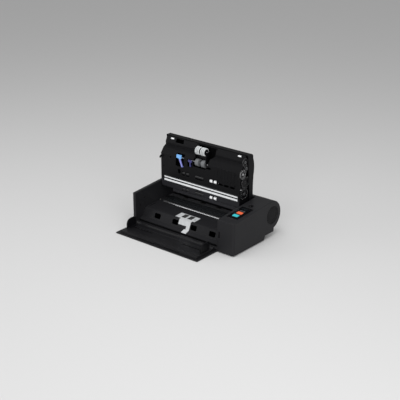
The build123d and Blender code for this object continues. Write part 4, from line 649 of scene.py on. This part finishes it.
@dataclass
class LowerBody(SubAssembly):
    """Side covers, round back, pan and the lower paper guide."""

    foot_clear: float = 26.0      # screws inside the corners of the feet
    screw_sink: float = 0.2       # head let into the pan
    throat_low: tuple[float, float] = (113.3, 60.5)
    throat_high: tuple[float, float] = (114.9, 99.0)
    throat_fields: int = 25
    throat_rim: float = 1.6
    throat_recess: float = 0.7

    def __post_init__(self) -> None:
        """Name the finish of every node of the lower body."""
        self.finishes = {
            "left_cover": Finish.COVER, "rear_cover": Finish.COVER, "side_frames": Finish.WALL,
            "base_pan": Finish.GUIDE, "rubber_feet": Finish.DARK_RUBBER, "lower_bed": Finish.BED,
            "lower_scan_bar": Finish.SCAN_BAR, "lower_glass": Finish.SCAN_GLASS,
            "separation_cover": Finish.SEPARATION, "retard_holder": Finish.FRAME,
            "retard_rollers": Finish.DARK_RUBBER, "front_drive_roller": Finish.STEEL,
            "rear_drive_shaft": Finish.STEEL, "rear_drive_tyres": Finish.DARK_RUBBER,
            "turn_rollers": Finish.FRAME, "turn_guide": Finish.GUIDE, "shaft_bushes": Finish.BUSH,
            "hinge_pins": Finish.STEEL,
        }

    def throat_field(self, left: float, pitch: float) -> bpy.types.Object:
        """Shape one framed field of the throat guide, open at both ends.

        Args:
            left: Where the field begins.
            pitch: Its width.

        Returns:
            The field, in object mode.
        """
        low = (left, self.throat_low[0] * MM, self.throat_low[1] * MM)
        high = (left + pitch, self.throat_high[0] * MM, self.throat_high[1] * MM)
        piece = start_box(low, high, self.throat_rim * MM, self.throat_recess * MM)
        ends = (low[0], high[0])
        select_in_mesh(piece, "faces", lambda face: any(
            all(abs(vertex.co.x - end) < SAME_PLACE for vertex in face.verts) for end in ends))
        bpy.ops.mesh.delete(type="FACE")
        bpy.ops.object.mode_set(mode="OBJECT")
        return piece

    def throat(self) -> None:
        """Inner guide of the turn behind the bed: a row of framed fields between the side frames."""
        left, right = (corner[0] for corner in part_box("lower_bed"))
        pitch = (right - left) / self.throat_fields
        guide = self.throat_field(left, pitch)
        row = guide.modifiers.new("row", "ARRAY")
        row.count = self.throat_fields
        row.use_relative_offset = False
        row.use_constant_offset = True
        row.constant_offset_displace = (pitch, 0.0, 0.0)
        row.use_merge_vertices = True
        row.merge_threshold = SAME_PLACE
        bpy.ops.object.modifier_apply(modifier=row.name)
        bpy.ops.object.mode_set(mode="EDIT")
        bpy.ops.mesh.select_all(action="SELECT")
        bpy.ops.mesh.fill_holes(sides=0)
        settle(guide, "throat_guide")
        # its pale grey finish is painted light for the shade under the unit
        self.add(guide, "base", "guide_plastic", Finish.THROAT)

    def screws(self) -> None:
        """Screws that hold the pan from below, one behind and beside each foot."""
        low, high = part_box("rubber_feet")
        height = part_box("base_pan")[0][2] + self.screw_sink * MM
        inset = self.foot_clear * MM
        places = {f"pan_screw_{hand}_{end}": (x, y, height)
                  for hand, x in (("left", low[0] + inset), ("right", high[0] - inset))
                  for end, y in (("front", low[1] + inset), ("rear", high[1] - inset))}
        self.spread(SCREW, (0.0, 0.0, -1.0), places, "base", "steel", Finish.SPRING_STEEL)

    def build(self) -> None:
        """Make the throat guide and the pan's screws."""
        self.throat()
        self.screws()


@dataclass
class ControlHousing(SubAssembly):
    """Right housing with its keys, display, button, drive and sockets."""

    def __post_init__(self) -> None:
        """Name the finish of every node of the housing."""
        self.finishes = {
            "right_cover": Finish.COVER, "side_cap": Finish.LID, "control_panel": Finish.PANEL,
            "display": Finish.DISPLAY, "start_key": Finish.KEY_CYAN, "stop_key": Finish.KEY_ORANGE,
            "left_small_key": Finish.KEY_GREY, "right_small_key": Finish.KEY_GREY,
            "key_carrier": Finish.GEAR_DARK, "release_button": Finish.PANEL,
            "port_bay": Finish.PANEL, "drive_motor": Finish.STEEL, "motor_pulley": Finish.GEAR_DARK,
            "drive_belt": Finish.DARK_RUBBER, "circuit_board": Finish.BOARD,
        }


@dataclass
class UpperUnit(SubAssembly):
    """Swung-up unit with its guide, scan bar, rollers, levers and gears.

    Places on it are given in millimetres as X, the distance s in front of the hinge and the height
    n over the guide's face.
    """

    face_y: float = 48.25         # the guide's face stands upright here when the unit is open
    hinge_z: float = 110.0
    rollers_x: float = -29.0
    tyre_pitch: float = 22.0
    pickup_at: tuple[float, float] = (148.0, 13.8)
    hub_x: float = 142.03         # just outside the gears' hubs
    studs: tuple[tuple[str, float, float], ...] = (
        ("step", 124.85, 28.83), ("clutch", 146.0, 22.8), ("transfer", 40.0, 20.5))
    bands: int = 3
    band_pitch: float = 6.1
    band: TurnedForm = TurnedForm(
        ((-2.0, 9.6), (-2.0, 12.9), (-1.7, 13.4), (1.7, 13.4), (2.0, 12.9), (2.0, 9.6)),
        capped=False, sides=96, ribs=24)
    tyre_core: TurnedForm = TurnedForm(
        ((-9.2, 3.1), (-9.2, 9.8), (-9.0, 10.0), (9.0, 10.0), (9.2, 9.8), (9.2, 3.1)), capped=False)
    post_at: tuple[float, float, float] = (138.0, 57.4, 3.0)
    post: TurnedForm = TurnedForm(((-0.3, 1.7), (3.0, 1.7), (3.2, 2.5), (4.2, 2.5), (4.5, 2.0)), sides=32)
    shaft: TurnedForm = TurnedForm(
        ((-24.5, 2.6), (-24.1, 3.0), (-23.9, 3.0), (23.9, 3.0), (24.1, 3.0), (24.5, 2.6)))
    clip: TurnedForm = TurnedForm(
        ((0.0, 2.0), (0.0, 4.5), (0.08, 4.6), (0.27, 4.6), (0.35, 4.5), (0.35, 2.0)), capped=False)
    chamber_low: tuple[float, float, float] = (-62.0, 92.0, 30.0)
    chamber_high: tuple[float, float, float] = (23.0, 163.0, 48.0)
    chamber_wall: float = 1.2
    screws: tuple[tuple[float, float], ...] = (
        (-185.0, 104.0), (-185.0, 66.0), (118.0, 104.0), (118.0, 66.0))

    def __post_init__(self) -> None:
        """Name the finish of every node of the upper unit."""
        self.finishes = {
            "top_cover": Finish.LID, "inner_guide": Finish.INNER_GUIDE, "end_frames": Finish.FRAME,
            "upper_scan_bar": Finish.SCAN_BAR, "upper_glass": Finish.SCAN_GLASS,
            "white_strips": Finish.WHITE, "idler_front": Finish.IDLER, "idler_rear": Finish.IDLER,
            "feed_shaft": Finish.STEEL, "feed_tyres": Finish.FEED_RUBBER, "feed_gear": Finish.GEAR_PAINTED_GLINT,
            "pickup_arm": Finish.FRAME, "step_gear": Finish.GEAR_DARK,
            "clutch_gear": Finish.GEAR_DARK, "link_gear": Finish.GEAR_DARK,
            "transfer_gear": Finish.GEAR_DARK, "blue_lever": Finish.LEVER_BLUE,
            "small_lever": Finish.LEVER_VIOLET, "latch_strikers": Finish.LATCH,
        }

    def place(self, x: float, s: float, n: float) -> Place:
        """Turn a place on the unit into metres in the open position.

        Args:
            x: Along the unit.
            s: In front of the hinge.
            n: Over the guide's face.

        Returns:
            The point.
        """
        return (x * MM, (self.face_y + n) * MM, (self.hinge_z + s) * MM)

    def pickup(self) -> None:
        """Pickup shaft with two dark cores, each under three ribbed bands of pale rubber."""
        middle = self.place(self.rollers_x, *self.pickup_at)
        shaft = self.shaft.make("pickup_shaft", middle)
        core = self.tyre_core.make("pickup_core", middle)
        band = self.band.make("pickup_band", middle)
        self.add(shaft, "pickup_rollers", "steel", Finish.STEEL)
        pieces = [shaft]
        for side, hand in ((-1, "left"), (1, "right")):
            tyre_x = side * self.tyre_pitch / 2
            hub = repeat(core, f"pickup_core_{hand}", (tyre_x * MM, 0.0, 0.0))
            self.add(hub, "pickup_rollers", "guide_plastic", Finish.FRAME)
            pieces.append(hub)
            for index in range(self.bands):
                band_x = tyre_x + (index - (self.bands - 1) / 2) * self.band_pitch
                tread = repeat(band, f"pickup_band_{hand}_{index + 1}", (band_x * MM, 0.0, 0.0))
                self.add(tread, "pickup_rollers", "roller_rubber", Finish.PICKUP_RUBBER)
                pieces.append(tread)
        for pattern in (core, band):
            bpy.data.objects.remove(pattern)
        for piece in pieces:
            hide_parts("pickup_rollers")

    def clips(self) -> None:
        """Spring clips that hold the gears on their studs, and the post of the clutch's spring."""
        places = {f"stud_clip_{gear}": self.place(self.hub_x, s, n) for gear, s, n in self.studs}
        self.spread(self.clip, (1.0, 0.0, 0.0), places, "upper_unit", "steel", Finish.DARK_STEEL)
        post = self.post.make("spring_post", self.place(*self.post_at))
        self.add(post, "upper_unit", "steel", Finish.SPRING_STEEL)

    def guide_screws(self) -> None:
        """Screws at the edges of the inner guide."""
        places = {f"guide_screw_{index}": self.place(x, s, 0.0)
                  for index, (x, s) in enumerate(self.screws, 1)}
        self.spread(SCREW, (0.0, -1.0, 0.0), places, "upper_unit", "steel", Finish.BLACK_STEEL)

    def chamber(self) -> None:
        """Near-black box behind the pickup rollers, open towards them: painted shade for the deep recess
        there.
        """
        low, high = self.place(*self.chamber_low), self.place(*self.chamber_high)
        wall = self.chamber_wall * MM
        box = start_box(low, high, wall, high[1] - low[1] - wall)
        settle(box, "roller_chamber")
        self.add(box, "upper_unit", "guide_plastic", Finish.CHAMBER)

    def build(self) -> None:
        """Make the pickup rollers, the clips, the screws and the chamber."""
        self.pickup()
        self.clips()
        self.guide_screws()
        self.chamber()


@dataclass
class FeedTray(SubAssembly):
    """Folded-down tray with its extension and document guides."""

    def __post_init__(self) -> None:
        """Name the finish of every node of the tray."""
        self.finishes = {
            "tray_panel": Finish.TRAY, "tray_insert": Finish.TRAY, "tray_extension": Finish.TRAY,
            "guide_left": Finish.GUIDE, "guide_right": Finish.GUIDE, "guide_pinion": Finish.GEAR_DARK,
        }


@dataclass(frozen=True)
class SoftLamp:
    """Square area lamp that looks at the machine."""

    name: str
    place: Place
    side: float
    watts: float

    def hang(self, target: Place) -> None:
        """Add the lamp to the scene.

        Args:
            target: Point that it looks at.
        """
        light = bpy.data.lights.new(self.name, "AREA")
        light.size = self.side
        light.energy = self.watts
        lamp = bpy.data.objects.new(self.name, light)
        bpy.context.scene.collection.objects.link(lamp)
        lamp.location = self.place
        look = Vector(target) - Vector(self.place)
        lamp.rotation_euler = look.to_track_quat("-Z", "Y").to_euler()


@dataclass
class Studio:
    """Pale floor, soft lamps and the camera at the photograph's angle."""

    eye: Place = (1.7906, -2.14315, 1.2410)
    target: Place = (0.0280, -0.01575, 0.1261)
    lens_mm: float = 83.65
    sensor_mm: float = 36.0
    sight: float = 50.0
    floor_size: float = 80.0
    floor_drop: float = 0.0005    # the floor lies this much under the feet
    floor_colour: str = "#cbcbcb"
    ambient: float = 0.55
    lamp_target: Place = (0.0, 0.0, 0.1)
    lamps: tuple[SoftLamp, ...] = (
        SoftLamp("top_lamp", (0.3, -0.4, 2.2), 1.6, 25.0),
        SoftLamp("right_lamp", (2.0, -0.9, 1.1), 1.2, 11.5),
        SoftLamp("left_lamp", (-1.8, -1.6, 1.2), 1.4, 8.0),
        SoftLamp("front_lamp", (1.2, -2.9, 1.0), 1.2, 28.0),
    )

    def floor(self) -> None:
        """Lay the floor of matt background paper, plain and pale."""
        bpy.ops.object.select_all(action="DESELECT")
        bpy.ops.mesh.primitive_plane_add(size=self.floor_size, location=(0.0, 0.0, -self.floor_drop))
        floor = bpy.context.object
        floor.name = "floor"
        material, tree = start_material("matt_background_paper")
        shader = add_node(tree, "ShaderNodeBsdfPrincipled",
                          {"Base Color": hex_to_linear(self.floor_colour), "Roughness": 0.9})
        end_material(tree, shader)
        floor.data.materials.append(material)

    def world(self) -> None:
        """Set the room's even light; the eye, gloss and glass see the far floor's tone instead."""
        world = bpy.data.worlds.new("room")
        bpy.context.scene.world = world
        world.use_nodes = True
        tree = world.node_tree
        tree.nodes.clear()
        light = add_node(tree, "ShaderNodeBackground", {"Color": hex_to_linear("#ffffff"),
                                                        "Strength": self.ambient})
        backdrop = add_node(tree, "ShaderNodeBackground", {"Color": hex_to_linear(self.floor_colour),
                                                           "Strength": self.ambient})
        ray = add_node(tree, "ShaderNodeLightPath")
        mirrored = add_node(tree, "ShaderNodeMath", {"operation": "MAXIMUM"},
                            {0: ray.outputs["Is Glossy Ray"], 1: ray.outputs["Is Transmission Ray"]})
        seen = add_node(tree, "ShaderNodeMath", {"operation": "MAXIMUM"},
                        {0: ray.outputs["Is Camera Ray"], 1: mirrored.outputs[0]})
        room = add_node(tree, "ShaderNodeMixShader", {}, {0: seen.outputs[0], 1: light.outputs[0],
                                                          2: backdrop.outputs[0]})
        add_node(tree, "ShaderNodeOutputWorld", links={"Surface": room.outputs[0]})

    def camera(self) -> None:
        """Stand the camera where the photograph was taken from."""
        data = bpy.data.cameras.new("camera")
        data.lens = self.lens_mm
        data.sensor_width = self.sensor_mm
        data.clip_end = self.sight
        camera = bpy.data.objects.new("camera", data)
        bpy.context.scene.collection.objects.link(camera)
        camera.location = self.eye
        look = Vector(self.target) - Vector(self.eye)
        camera.rotation_euler = look.to_track_quat("-Z", "Y").to_euler()
        bpy.context.scene.camera = camera

    def build(self) -> None:
        """Set up the whole studio."""
        self.floor()
        self.world()
        for lamp in self.lamps:
            lamp.hang(self.lamp_target)
        self.camera()
        bpy.context.scene.view_settings.view_transform = "Standard"


def main() -> None:
    """Load the frame, dress each sub-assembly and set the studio."""
    logging.basicConfig(level=logging.INFO, format="%(message)s")
    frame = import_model()
    wardrobe = Wardrobe()
    for kind in (LowerBody, ControlHousing, UpperUnit, FeedTray):
        group = kind(frame["nodes"], wardrobe)
        group.dress_nodes()
        group.build()
        log.info("finished %s", kind.__name__)
    Studio().build()


if __name__ == "__main__":
    main()
